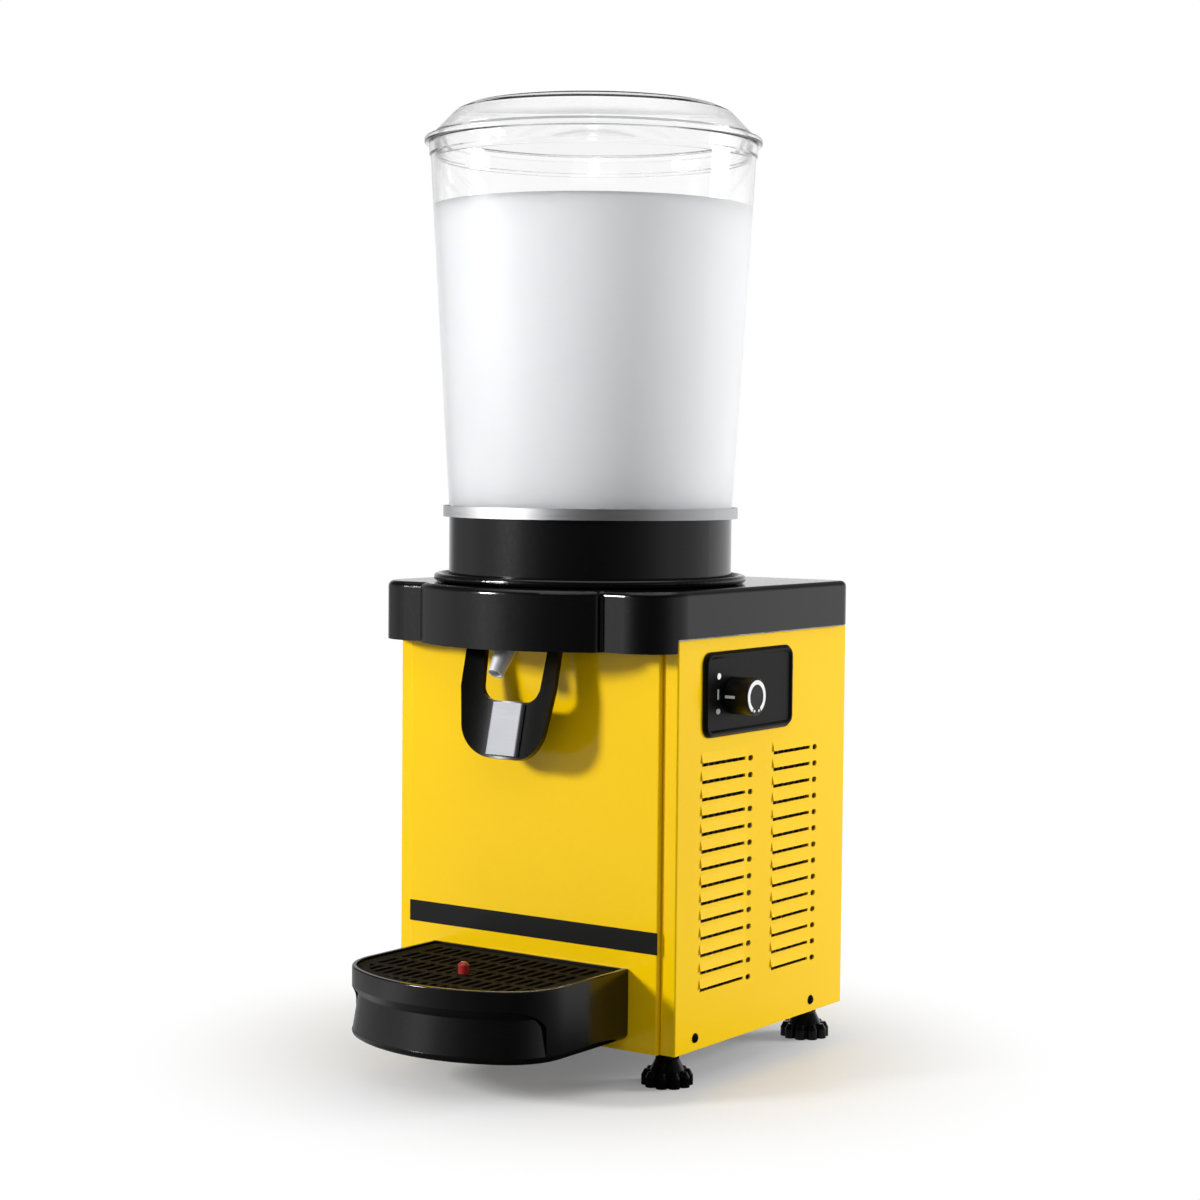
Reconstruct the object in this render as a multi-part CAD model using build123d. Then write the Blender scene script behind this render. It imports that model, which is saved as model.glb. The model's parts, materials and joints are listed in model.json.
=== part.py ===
from build123d import *
import os
from math import cos, radians, sin, sqrt

# A counter-top cold drink dispenser: a folded sheet-metal body with the cooling set inside,
# a moulded black cover, a clear bowl on a cooled steel cup, a push-lever tap and a drip tray.
# Millimetres. X to the right, Y to the back, Z up. The front faces -Y.
# The origin is on the worktop, midway between the four feet.

# Fits
RUN = 0.05            # radial clearance of a pin, shaft or screw in its hole
SEAT = 0.3            # gap where a lift-off or moving piece rests on its seat
SLIP = 0.5            # side clearance of a loose-fitting piece

# Sheet-metal body
FOOT_HEIGHT = 26.0    # worktop to the underside of the body
BODY_WIDTH = 250.0
BODY_DEPTH = 234.0
PANEL_HEIGHT = 292.9
SHEET = 1.2           # sheet thickness of panels, base and deck
FOLD_R = 1.5          # outer radius of a fold
PANEL_FLANGE = 12.0   # folded edge of a side panel
FRONT_PROUD = 4.0     # front panel in front of the side panels' folded edges
FRONT_SEAM = 0.8      # open seam beside the front panel
FRONT_LIP = 8.0       # lip of the front panel behind each folded edge
FRONT_TOP_GAP = 3.9   # top of the front panel below the deck
BASE_EDGE = 18.0      # up-turned edge of the base plate
STRIP_RISE = 71.4     # lower edge of the black strip above the body's underside
STRIP_HEIGHT = 15.6
STRIP_THICK = 0.4

# Louvres in the side panels
LOUVRE_ROWS = 14
LOUVRE_PITCH = 12.4
LOUVRE_RAISE = 43.6   # lowest hood's lip above the body's underside
LOUVRE_LENGTH = 60.0  # front column
LOUVRE_REAR_LENGTH = 55.0
LOUVRE_SLIT = 2.8     # open slit below the hood's lip
LOUVRE_END_R = 2.0    # round-ended hole behind each slit
LOUVRE_END_HALF = 1.2 # centre of the hole's rounding from its middle
LOUVRE_END_GAP = 6.0  # hole's middle behind the slit's end
LOUVRE_END_DROP = 2.1 # and below the hood's lip
LOUVRE_HOOD = 1.5     # how far the pressed hood stands out
LOUVRE_RISE = 7.0     # height of the pressed hood
LOUVRE_BACK = 30.5    # front column's slits start behind the body's front
LOUVRE_COLUMN = 97.0  # column to column

# Back panel
VENT_ROWS = 11
VENT_PITCH = 13.0
VENT_RAISE = 69.0
VENT_LENGTH = 78.0
VENT_SLOT = 5.0
VENT_SPREAD = 104.0   # column to column

# Screws
SCREW_R = 2.0
SCREW_HEAD_R = 3.6
SCREW_HEAD = 2.0
SCREW_LENGTH = 9.0
SIDE_SCREW_RAISE = 9.0
SIDE_SCREW_FRONT = 26.0
SIDE_SCREW_REAR = 47.0
BACK_SCREW_LOW = 30.0
BACK_SCREW_HIGH = 250.0

# Levelling feet
FOOT_INSET_X = 20.0   # foot axis from the body's side
FOOT_INSET_Y = 21.0   # foot axis from the body's front and back
FOOT_R = 18.5
FOOT_NECK_R = 8.5
FOOT_PAD = 7.0        # height of the lobed pad
FOOT_LOBES = 10
FOOT_LOBE_R = 4.2
FOOT_LOBE_TOP = 11.0
STUD_R = 4.0
STUD_RISE = 13.0      # stud above the base plate
NUT_FLATS = 13.0
NUT_HEIGHT = 6.5

# Moulded top cover
COVER_OVERHANG = 5.8  # cover beyond the body's sides
COVER_NOSE = 29.5     # cover in front of the body
COVER_SETBACK = 3.0   # back of the cover inside the body's back
COVER_SKIRT = 33.5
COVER_FRONT_DROP = 9.9
COVER_DROP_GAP = 3.5  # dropped edge in front of the front panel
COVER_WALL = 3.0
COVER_EDGE_R = 4.5
COVER_CORNER_R = 32.0
COVER_REAR_R = 11.0
BULGE_HALF = 79.5
BULGE_SIDE = 5.0      # depth of the bulge's side walls
BULGE_BOW = 28.0      # bow of the bulge's front
BULGE_CORNER_R = 5.0
BULGE_ROOT_R = 1.5
BOSS_R = 6.0
BOSS_INSET_X = 18.8   # boss axis from the cover's side
BOSS_INSET_Y = 22.0   # boss axis from the cover's back
BOSS_NOSE = 48.5      # boss axis from the cover's front

# Bowl and lid
BOWL_HEIGHT = 270.5
BOWL_BASE_R = 104.9
BOWL_FLARE = 15.8     # how much wider the bowl is at the top
BOWL_WALL = 3.0
BOWL_FOOT = 2.2       # outward foot of the bowl
BOWL_FOOT_HEIGHT = 3.0
BOWL_BEAD = 1.0
BOWL_BEAD_HEIGHT = 9.0
LID_OVERHANG = 4.1    # lid rim beyond the bowl's top
LID_RIM = 4.0
LID_SHOULDER = 6.3    # lid shoulder inside its rim
LID_SLOPE = 17.5      # run of the sloped shoulder
LID_RISE = 22.0
LID_CROWN = 2.0
LID_WALL = 2.5
LID_PLUG = 12.0
LID_EDGE = 6.0        # rounding of the lid's upper edge
LID_EDGE_DROP = 3.0

# Bowl seat, round the bowl axis
GUTTER_REACH = 11.3   # gutter lip beyond the bowl's base
GUTTER_BASE = 2.0
GUTTER_FLAT = 3.0     # flat of the gutter beside the collar
GUTTER_BEAD_R = 3.0
GUTTER_RISE = 3.4     # middle of the rolled lip above the cover
COLLAR_STEP = 0.1     # collar beyond the bowl's base
COLLAR_WALL = 2.5
COLLAR_HEIGHT = 46.1
CUP_INSET = 7.9       # cup wall inside the bowl's base
CUP_SHEET = 1.2
CUP_DEPTH = 44.0
CUP_LIP_REACH = 4.6   # cup lip beyond the bowl's base
CUP_LIP = 8.0
CUP_NECK_R = 9.2
CUP_NECK = 16.0
JACKET_WALL = 4.0
JACKET_MARGIN = 4.0   # jacket inside the cup's two ends
FOAM_INSET = 3.0
FOAM_BORE_R = 14.0
GASKET = 2.0
GASKET_WIDTH = 7.0

# Stirrer and its drive
SHAFT_R = 4.0
SHAFT_RISE = 24.0     # shaft end above the cup floor
STIRRER_LIFT = 0.9    # stirrer above the cup floor
STIRRER_HUB_R = 14.0
STIRRER_HUB = 30.0
STIRRER_CONE = 8.0
STIRRER_ROOM = 7.0    # paddle tip to the valve's head
STIRRER_BLADE = 4.0
STIRRER_BLADE_HEIGHT = 34.0
STIRRER_LEAN = 25.0
GEARBOX_WIDTH = 66.0
GEARBOX_DEPTH = 56.0
GEARBOX_HEIGHT = 26.0
GEARBOX_EDGE_R = 5.0
MOTOR_R = 26.0
MOTOR_LENGTH = 42.0
MOTOR_SET_BACK = 10.0

# Tap
TAP_REACH = 13.0      # valve axis in front of the body
OUTLET_INSET = 16.0   # valve axis inside the cup's wall
TAP_R = 11.0
TAP_BORE_R = 8.0
TAP_HEIGHT = 28.0
TAP_FLOOR = 3.0
TAP_FLANGE_R = 16.0
TAP_FLANGE = 3.0
TAP_GASKET = 1.0
OUTLET_R = 6.0
SPOUT_REACH = 19.0    # spout axis in front of the valve
SPOUT_R = 8.0
SPOUT_BORE_R = 4.5
DUCT_RISE = 1.0       # duct above the tap's underside
DUCT_HEIGHT = 14.0
NOZZLE_NECK = 17.7    # straight neck below the duct
NOZZLE_REACH = 14.5   # tip in front of the spout axis
NOZZLE_DROP = 20.3    # tip below the elbow
NOZZLE_TIP_R = 5.6
NOZZLE_WALL = 1.2
STEM_R = 3.0
VALVE_HEAD_R = 8.0
VALVE_HEAD = 4.0
STEM_FOOT_R = 6.5
STEM_FOOT = 2.0
SPRING_R = 5.5
SPRING_WALL = 1.8

# Push lever
PIVOT_REACH = 20.0    # lever pivot in front of the valve
PIVOT_RISE = 5.9      # lever pivot above the deck
PIVOT_R = 3.0
CROSSBAR_DROP = 12.0  # crossbar below the pivot
CROSSBAR_R = 2.5
LEVER_TILT = 13.5     # degrees; the foot of the lever stands forward
LEVER_DROP = 50.0     # reference height of the lever below its pivot
LEVER_FORWARD = 2.0   # front edge there, in front of the pivot
LEVER_HALF = 41.3
LEVER_FOOT_HALF = 33.5
LEVER_UP = 43.0       # yoke above its reference height
LEVER_DOWN = 44.7     # yoke below its reference height
LEVER_WAIST = 5.0
LEVER_CORNER_R = 26.0
LEVER_DISH = 8.2      # depth of the hollow front
LEVER_WALL = 4.5
WINDOW_HALF = 28.5
WINDOW_FOOT_HALF = 25.5
WINDOW_DOWN = 3.0
WINDOW_CORNER_R = 12.0
HUB_INNER = 28.3
HUB_OUTER = 37.0
HUB_R = 7.0
TAIL_R = 5.0
PLATE_WIDTH = 27.0
PLATE_TOP = -4.5
PLATE_BOTTOM = -42.5
PLATE_SINK = 3.8      # plate's face behind the lever's front edge
PLATE_EDGE_R = 1.5
EAR_GAP = 0.8
EAR_SHEET = 1.5
EAR_DEPTH = 20.0      # bracket foot on the deck
PIN_HEAD = 2.0        # head of a pin beyond its shank

# Drip tray
TRAY_HALF = 88.0
TRAY_DEPTH = 135.5
TRAY_RAISE = 8.0      # tray's underside above the body's underside
TRAY_HEIGHT = 51.0
TRAY_CORNER_R = 48.0
TRAY_BOW_R = 125.0
TRAY_WALL = 3.0
TRAY_BASIN = 7.0      # basin's wall inside the tray's outside
TRAY_BAND = 14.0      # upright band above the finger grip
TRAY_GRIP = 4.5       # depth of the finger grip
TRAY_GRIP_SLOPE = 6.5 # height of the slope from the band into the grip
TRAY_GRIP_FOOT = 0.4  # what is left of the grip's depth at its foot
TRAY_GRIP_HALF = 85.0
TRAY_GRIP_R = 14.0
TRAY_GRIP_DEPTH = 59.0
TRAY_FLOOR = 10.0
TRAY_LEDGE = 6.0      # grid seat below the rim
TRAY_FOOT_R = 5.0
TRAY_RIM_R = 1.0
TONGUE_SPREAD = 104.0
TONGUE_WIDTH = 14.0
TONGUE_THICK = 4.0
TONGUE_REACH = 70.0
GRID_THICK = 4.0
GRID_PITCH = 8.8
GRID_SLOT = 5.0
GRID_SLOT_LENGTH = 21.0
GRID_ROW = 26.0
GRID_ROWS = 5
GRID_MARGIN = 9.0
FLOAT_BACK = 76.5     # float axis from the tray's back
FLOAT_R = 13.0
FLOAT_HEIGHT = 9.0
FLOAT_STEM_R = 4.0
FLOAT_SHOW = 8.0      # float tip above the grid

# Control panel on the right side
PANEL_BACK = 31.0     # panel behind the body's front
PANEL_DROP = 9.9      # panel below the deck
PANEL_LENGTH = 120.0
PANEL_TALL = 61.0
PANEL_PLATE = 3.5
PANEL_CORNER_R = 9.0
PANEL_BEVEL = 2.0
PANEL_DISH = 1.5      # sunk field of the panel
PANEL_FRAME = 5.0
PANEL_SLOPE = 1.6     # slope from the frame down to the field
PANEL_SPIGOT = 4.0
PANEL_SPIGOT_INSET = 10.0
KNOB_BACK = 38.0      # knob axis behind the panel's front end
KNOB_DROP = 2.0       # and below the panel's middle
KNOB_R = 13.5
KNOB_LENGTH = 19.0
KNOB_SHELL = 2.0
KNOB_EDGE_R = 1.0
SPINDLE_R = 3.0
SWITCH_DEPTH = 26.0
SWITCH_SIDE = 30.0

# Cooling set
COMPRESSOR_LEFT = 70.0   # compressor axis from the body's left side
COMPRESSOR_REAR = 72.0   # compressor axis from the body's back
COMPRESSOR_R = 57.0
COMPRESSOR_HEIGHT = 150.0
COMPRESSOR_BAND = 70.0   # weld band above the foot plate
BAND_HEIGHT = 6.0
BAND_STEP = 2.0
SHELL_EDGE = 8.0
DOME_RISE = 28.0
DOME_SHOULDER = 22.0
DOME_INSET = 18.0
DOME_FLAT_R = 20.0
COMPRESSOR_FOOT_WIDTH = 112.0
COMPRESSOR_FOOT_DEPTH = 92.0
COMPRESSOR_FOOT = 3.0
MOUNT_R = 9.0
MOUNT_HEIGHT = 12.0
MOUNT_INSET = 11.0
RELAY_WIDTH = 40.0
RELAY_DEPTH = 24.0
RELAY_HEIGHT = 50.0
RELAY_RAISE = 52.8    # relay above the compressor's foot plate
RELAY_OVERLAP = 10.0  # relay's hollow round the compressor
CONDENSER_GAP = 11.0  # condenser inside the body's right side
CONDENSER_DEPTH = 32.0
CONDENSER_ROOM = 37.0 # condenser inside the body's front and back
CONDENSER_RAISE = 36.0
CONDENSER_HEIGHT = 170.0
CONDENSER_END = 2.0
FIN_PITCH = 8.0
FIN_GAP = 5.5
FIN_DEPTH = 13.0
SHROUD = 4.0
SHROUD_RIM = 8.0      # shroud beside its round opening
FAN_GAP = 3.0         # fan in front of the shroud
FAN_DEPTH = 12.0
FAN_TIP = 4.0         # fan inside the shroud's opening
FAN_HUB_R = 16.0
FAN_BLADES = 5
FAN_PITCH = 28.0
FAN_BLADE = 2.0
FAN_CHORD = 19.2
FAN_SHAFT_R = 3.0
FAN_MOTOR_R = 22.0
FAN_MOTOR_LENGTH = 30.0
BRACKET_SHEET = 2.0
BRACKET_HALF = 24.0
BRACKET_FOOT = 20.0
DRIER_RIGHT = 85.0    # drier axis from the body's right side
DRIER_REAR = 21.0     # drier axis from the body's back
DRIER_R = 9.0
DRIER_NECK = 4.0
DRIER_TAPER = 10.0
DRIER_RAISE = 70.0
DRIER_LENGTH = 90.0
TUBE_R = 3.0
SUCTION_R = 2.5
CAPILLARY_R = 1.5
BEND_R = 8.0
TUBE_REAR = 14.0      # discharge riser from the body's back
DISCHARGE_RISE = 100.0
DISCHARGE_REACH = 18.0
LIQUID_RISE = 14.0    # lower condenser joint above its foot
VAPOUR_DROP = 12.0    # upper condenser joint below its top
CAPILLARY_DROP = 40.0
CAPILLARY_OFFSET = 20.0
SUCTION_DROP = 60.0
THERMOSTAT_WIDTH = 40.0
THERMOSTAT_DEPTH = 30.0
THERMOSTAT_HEIGHT = 31.0
TERMINAL_WIDTH = 60.0
TERMINAL_DEPTH = 20.0
TERMINAL_HEIGHT = 20.0
WIRING_LEFT = 65.0    # thermostat and terminals from the body's left side
WIRING_FRONT = 32.0   # and from its front
INLET_SIDE = 70.0     # inlet from the body's right side
INLET_RAISE = 28.0
INLET_FLANGE = 2.0
INLET_LIP = 3.0
INLET_WIDTH = 44.0
INLET_DEPTH = 24.0
INLET_HEIGHT = 21.0
SOCKET_WIDTH = 26.0
SOCKET_DEPTH = 16.0
SOCKET_HEIGHT = 14.0
BLADE_SPREAD = 7.0
BLADE_STEP = 2.0
BLADE_WIDTH = 2.0
BLADE_HEIGHT = 4.0
BLADE_LENGTH = 12.0

# Levels and faces worked out from the sizes above
HALF_W = BODY_WIDTH / 2
FRONT_Y = -BODY_DEPTH / 2
BACK_Y = BODY_DEPTH / 2
BASE_Z = FOOT_HEIGHT
FLOOR_Z = BASE_Z + SHEET
DECK_Z = BASE_Z + PANEL_HEIGHT
DECK_TOP = DECK_Z + SHEET
FACE_Y = FRONT_Y - FRONT_PROUD
FRONT_HALF = HALF_W - PANEL_FLANGE - FRONT_SEAM
STRIP_Z = BASE_Z + STRIP_RISE
FOOT_X = HALF_W - FOOT_INSET_X
FOOT_Y = BACK_Y - FOOT_INSET_Y
SIDE_SCREW_Y = (FRONT_Y + SIDE_SCREW_FRONT, BACK_Y - SIDE_SCREW_REAR)
BACK_SCREW_Z = (BASE_Z + BACK_SCREW_LOW, BASE_Z + BACK_SCREW_HIGH)
COVER_HALF = HALF_W + COVER_OVERHANG
COVER_FRONT_Y = FRONT_Y - COVER_NOSE
COVER_BACK_Y = BACK_Y - COVER_SETBACK
COVER_Z = DECK_TOP + SEAT
COVER_TOP = COVER_Z + COVER_SKIRT
COVER_UNDER = COVER_TOP - COVER_WALL
BOWL_TOP_R = BOWL_BASE_R + BOWL_FLARE
COLLAR_R = BOWL_BASE_R + COLLAR_STEP
GUTTER_R = BOWL_BASE_R + GUTTER_REACH
CUP_R = BOWL_BASE_R - CUP_INSET
CUP_LIP_R = BOWL_BASE_R + CUP_LIP_REACH
FOAM_R = CUP_R - FOAM_INSET
COLLAR_Z = COVER_TOP + GUTTER_BASE
COLLAR_TOP = COLLAR_Z + COLLAR_HEIGHT
CUP_Z = COLLAR_TOP - CUP_DEPTH
CUP_FLOOR = CUP_Z + CUP_SHEET
CUP_SEAT = COLLAR_TOP + CUP_SHEET
JACKET_Z = CUP_Z + JACKET_MARGIN
BOWL_Z = CUP_SEAT + GASKET + SEAT
BOWL_TOP = BOWL_Z + BOWL_HEIGHT
LID_Z = BOWL_TOP + SEAT
TAP_Y = FRONT_Y - TAP_REACH
BOWL_Y = TAP_Y + CUP_R - OUTLET_INSET
SPOUT_Y = TAP_Y - SPOUT_REACH
TAP_TOP = CUP_Z - TAP_GASKET
TAP_Z = TAP_TOP - TAP_HEIGHT
DUCT_Z = TAP_Z + DUCT_RISE
STIRRER_R = CUP_R - OUTLET_INSET - VALVE_HEAD_R - STIRRER_ROOM
PIVOT_Y = TAP_Y - PIVOT_REACH
PIVOT_Z = DECK_TOP + PIVOT_RISE
CROSSBAR_Z = PIVOT_Z - CROSSBAR_DROP
STEM_FOOT_Z = CROSSBAR_Z + CROSSBAR_R + SEAT
EAR_X = HUB_INNER - EAR_GAP
TRAY_BOTTOM = BASE_Z + TRAY_RAISE
TRAY_TOP = TRAY_BOTTOM + TRAY_HEIGHT
TRAY_BACK_Y = FACE_Y - SLIP
TRAY_FRONT_Y = TRAY_BACK_Y - TRAY_DEPTH
TRAY_FLOOR_Z = TRAY_BOTTOM + TRAY_FLOOR
FLOAT_Y = TRAY_BACK_Y - FLOAT_BACK
GRID_Z = TRAY_TOP - TRAY_LEDGE + SEAT
TONGUE_Z = TRAY_BOTTOM + TRAY_FLOOR / 2
PANEL_Y = (FRONT_Y + PANEL_BACK, FRONT_Y + PANEL_BACK + PANEL_LENGTH)
PANEL_Z = (DECK_Z - PANEL_DROP - PANEL_TALL, DECK_Z - PANEL_DROP)
PANEL_FACE_X = HALF_W + PANEL_PLATE - PANEL_DISH
KNOB_Y = PANEL_Y[0] + KNOB_BACK
KNOB_Z = (PANEL_Z[0] + PANEL_Z[1]) / 2 - KNOB_DROP
KNOB_X = PANEL_FACE_X + SLIP
SWITCH_X = HALF_W - PANEL_SPIGOT
COMPRESSOR_X = COMPRESSOR_LEFT - HALF_W
COMPRESSOR_Y = BACK_Y - COMPRESSOR_REAR
COMPRESSOR_Z = FLOOR_Z + MOUNT_HEIGHT
CONDENSER_X = (HALF_W - CONDENSER_GAP - CONDENSER_DEPTH, HALF_W - CONDENSER_GAP)
CONDENSER_Z = (BASE_Z + CONDENSER_RAISE, BASE_Z + CONDENSER_RAISE + CONDENSER_HEIGHT)
CONDENSER_HALF = BODY_DEPTH / 2 - CONDENSER_ROOM
SHROUD_BORE_R = CONDENSER_HALF - SHROUD_RIM
FAN_R = SHROUD_BORE_R - FAN_TIP
FAN_Z = (CONDENSER_Z[0] + CONDENSER_Z[1]) / 2
FAN_X = CONDENSER_X[0] - SHROUD - FAN_GAP - FAN_DEPTH
FAN_MOTOR_X = FAN_X - SLIP
DRIER_X = HALF_W - DRIER_RIGHT
DRIER_Y = BACK_Y - DRIER_REAR
DRIER_Z = (BASE_Z + DRIER_RAISE, BASE_Z + DRIER_RAISE + DRIER_LENGTH)
WIRING_X = WIRING_LEFT - HALF_W
WIRING_Y = FRONT_Y + WIRING_FRONT
INLET_X = HALF_W - INLET_SIDE
INLET_Z = BASE_Z + INLET_RAISE


def slab(x0, x1, y0, y1, z0, z1):
    """A box between two corners."""
    return Pos((x0 + x1) / 2, (y0 + y1) / 2, (z0 + z1) / 2) * Box(x1 - x0, y1 - y0, z1 - z0)


def rod(radius, z0, z1, x=0.0, y=0.0):
    """An upright round bar."""
    return Pos(x, y, (z0 + z1) / 2) * Cylinder(radius, z1 - z0)


def rod_x(radius, x0, x1, y, z):
    """A round bar along X."""
    return Pos((x0 + x1) / 2, y, z) * Rot(0, 90, 0) * Cylinder(radius, x1 - x0)


def rod_y(radius, y0, y1, x, z):
    """A round bar along Y."""
    return Pos(x, (y0 + y1) / 2, z) * Rot(90, 0, 0) * Cylinder(radius, y1 - y0)


def turned(profile, x=0.0, y=0.0):
    """A turned piece from (radius, height) corners, round an upright axis."""
    corners = [(r, 0, z) for r, z in profile]
    face = make_face(Polyline(*corners, close=True))
    return Pos(x, y, 0) * revolve(face, Axis.Z)


def pipe(points, radius, bend):
    """A round tube along straight runs joined by bends."""
    path = FilletPolyline(*points, radius=bend)
    section = Plane(origin=path @ 0, z_dir=path % 0) * Circle(radius)
    return sweep(section, path=path)


def mirrored(piece):
    """The same piece on the other side of the middle plane."""
    return mirror(piece, about=Plane.YZ)


def corners():
    """The four foot places."""
    return [(sx * FOOT_X, sy * FOOT_Y) for sx in (-1, 1) for sy in (-1, 1)]


# Body panels

def louvre_places():
    """Start, length and height of every slit."""
    heights = [BASE_Z + LOUVRE_RAISE + row * LOUVRE_PITCH for row in range(LOUVRE_ROWS)]
    first = FRONT_Y + LOUVRE_BACK
    columns = ((first, LOUVRE_LENGTH), (first + LOUVRE_COLUMN, LOUVRE_REAR_LENGTH))
    return [(y, length, z) for y, length in columns for z in heights]


def louvre_wedge(x, reach, y, length, z):
    """A wedge from the slit up to the panel's plane at x, widest at its foot."""
    corners = [
        (x - SHEET, 0, z), (x + reach, 0, z), (x, 0, z + LOUVRE_RISE), (x - SHEET, 0, z + LOUVRE_RISE)
    ]
    face = make_face(Polyline(*corners, close=True))
    return Pos(0, y + length, 0) * extrude(face, length, dir=(0, -1, 0))


def louvre_hood(y, length, z):
    """The pressed hood above a slit, standing out at its lower lip."""
    return louvre_wedge(HALF_W, LOUVRE_HOOD, y, length, z)


def louvre_hollow(y, length, z):
    """The hollow behind the hood, the slit below it and the round-ended hole behind the slit."""
    y0 = y + SHEET
    y1 = y + length - SHEET
    inner = HALF_W - SHEET
    out = HALF_W + LOUVRE_HOOD
    hollow = louvre_wedge(inner, LOUVRE_HOOD, y0, y1 - y0, z)
    hollow += slab(inner - SHEET, HALF_W + SHEET, y0, y1, z - LOUVRE_SLIT, z)
    middle = y + length + LOUVRE_END_GAP
    level = z - LOUVRE_END_DROP
    ends = (middle - LOUVRE_END_HALF, middle + LOUVRE_END_HALF)
    hole = slab(inner - 1, out, *ends, level - LOUVRE_END_R, level + LOUVRE_END_R)
    hole += [rod_x(LOUVRE_END_R, inner - 1, out, end, level) for end in ends]
    return [hollow, hole]


def side_panel():
    """The right-hand panel: wall, three folded edges, slits with hoods and screw holes."""
    inner = HALF_W - SHEET
    fold = HALF_W - PANEL_FLANGE
    panel = slab(inner, HALF_W, FRONT_Y, BACK_Y, BASE_Z, DECK_Z)
    panel += slab(fold, HALF_W, FRONT_Y, FRONT_Y + SHEET, BASE_Z, DECK_Z)
    panel += slab(fold, HALF_W, BACK_Y - SHEET, BACK_Y, BASE_Z, DECK_Z)
    panel += slab(fold, HALF_W, FRONT_Y, BACK_Y, DECK_Z - SHEET, DECK_Z)
    panel = fillet(panel.edges().filter_by(Axis.Z).group_by(Axis.X)[-1], FOLD_R)
    panel += [louvre_hood(*place) for place in louvre_places()]
    for place in louvre_places():
        panel -= louvre_hollow(*place)
    for y in SIDE_SCREW_Y:
        panel -= rod_x(SCREW_R + RUN, inner - 1, HALF_W + 1, y, BASE_Z + SIDE_SCREW_RAISE)
    for z in BACK_SCREW_Z:
        panel -= rod_y(SCREW_R + RUN, BACK_Y - 2 * SHEET, BACK_Y + 1, back_screw_x(), z)
    return panel


def back_screw_x():
    """Screws sit in the middle of the folded rear edge."""
    return HALF_W - PANEL_FLANGE / 2


def right_side_panel():
    inset = PANEL_SPIGOT_INSET - SLIP
    cut = slab(
        HALF_W - 2 * SHEET, HALF_W + 1,
        PANEL_Y[0] + inset, PANEL_Y[1] - inset, PANEL_Z[0] + inset, PANEL_Z[1] - inset,
    )
    return side_panel() - cut


def front_panel():
    """A shallow pan whose lips hook behind the side panels' folded edges."""
    top = DECK_Z - FRONT_TOP_GAP
    lip_y = FRONT_Y + SHEET + SEAT
    panel = slab(-FRONT_HALF, FRONT_HALF, FACE_Y, FACE_Y + SHEET, BASE_Z, top)
    for side in (-1, 1):
        edge = sorted((side * FRONT_HALF, side * (FRONT_HALF - SHEET)))
        lip = sorted((side * (FRONT_HALF - SHEET), side * (FRONT_HALF + FRONT_LIP)))
        panel += slab(*edge, FACE_Y, lip_y + SHEET, BASE_Z, top)
        panel += slab(*lip, lip_y, lip_y + SHEET, FLOOR_Z + BASE_EDGE, top - PANEL_FLANGE)
    folds = panel.edges().filter_by(Axis.Z).group_by(Axis.Y)[0]
    panel = fillet(folds, FOLD_R)
    return panel - [tongue(side, SLIP) for side in (-1, 1)]


def front_strip():
    z0 = STRIP_Z
    return slab(-FRONT_HALF, FRONT_HALF, FACE_Y - STRIP_THICK, FACE_Y, z0, z0 + STRIP_HEIGHT)


def base_inner():
    """Half-width and rear face of the base plate inside the panels."""
    return HALF_W - SHEET, BACK_Y - 2 * SHEET


def base_front_y():
    """Front of the base plate, behind the front panel's lips."""
    return FRONT_Y + 2 * SHEET + 2 * SEAT


def base_plate():
    """Folded base with up-turned edges, foot holes and screw holes."""
    half, rear = base_inner()
    front = base_front_y()
    top = FLOOR_Z + BASE_EDGE
    plate = slab(-half, half, front, rear, BASE_Z, FLOOR_Z)
    plate += slab(-half, half, front, front + SHEET, BASE_Z, top)
    for side in (-1, 1):
        plate += slab(*sorted((side * half, side * (half - SHEET))), front, rear, BASE_Z, top)
        for y in SIDE_SCREW_Y:
            hole = sorted((side * (half - 2 * SHEET), side * (half + 1)))
            plate -= rod_x(SCREW_R + RUN, *hole, y, BASE_Z + SIDE_SCREW_RAISE)
    for x, y in corners():
        plate -= rod(STUD_R + RUN, BASE_Z - 1, FLOOR_Z + 1, x, y)
    return plate


def back_panel():
    """Flat panel behind the folded rear edges, with cooling slots and the inlet's cut-out."""
    half = HALF_W - SHEET
    y0 = BACK_Y - 2 * SHEET
    y1 = BACK_Y - SHEET
    panel = slab(-half, half, y0, y1, BASE_Z, DECK_Z - SHEET)
    long = VENT_LENGTH / 2
    slot = VENT_SLOT / 2
    for row in range(VENT_ROWS):
        z = BASE_Z + VENT_RAISE + row * VENT_PITCH
        for x in (-VENT_SPREAD / 2, VENT_SPREAD / 2):
            panel -= slab(x - long, x + long, y0 - 1, y1 + 1, z - slot, z + slot)
    across = INLET_WIDTH / 2 + SLIP
    up = INLET_HEIGHT / 2 + SLIP
    panel -= slab(INLET_X - across, INLET_X + across, y0 - 1, y1 + 1, INLET_Z - up, INLET_Z + up)
    for x in (-back_screw_x(), back_screw_x()):
        for z in BACK_SCREW_Z:
            panel -= rod_y(SCREW_R + RUN, y0 - 1, y1 + 1, x, z)
    return panel


def top_deck():
    """Steel deck on the side panels, under the cover."""
    deck = slab(-HALF_W, HALF_W, FRONT_Y, BACK_Y - 2 * SHEET, DECK_Z, DECK_TOP)
    deck -= rod(FOAM_BORE_R, DECK_Z - 1, DECK_TOP + 1, 0, BOWL_Y)
    for (x, y), radius in ((suction_top(), SUCTION_R), (capillary_top(), CAPILLARY_R)):
        deck -= rod(radius + SLIP, DECK_Z - 1, DECK_TOP + 1, x, y)
    return deck


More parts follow.
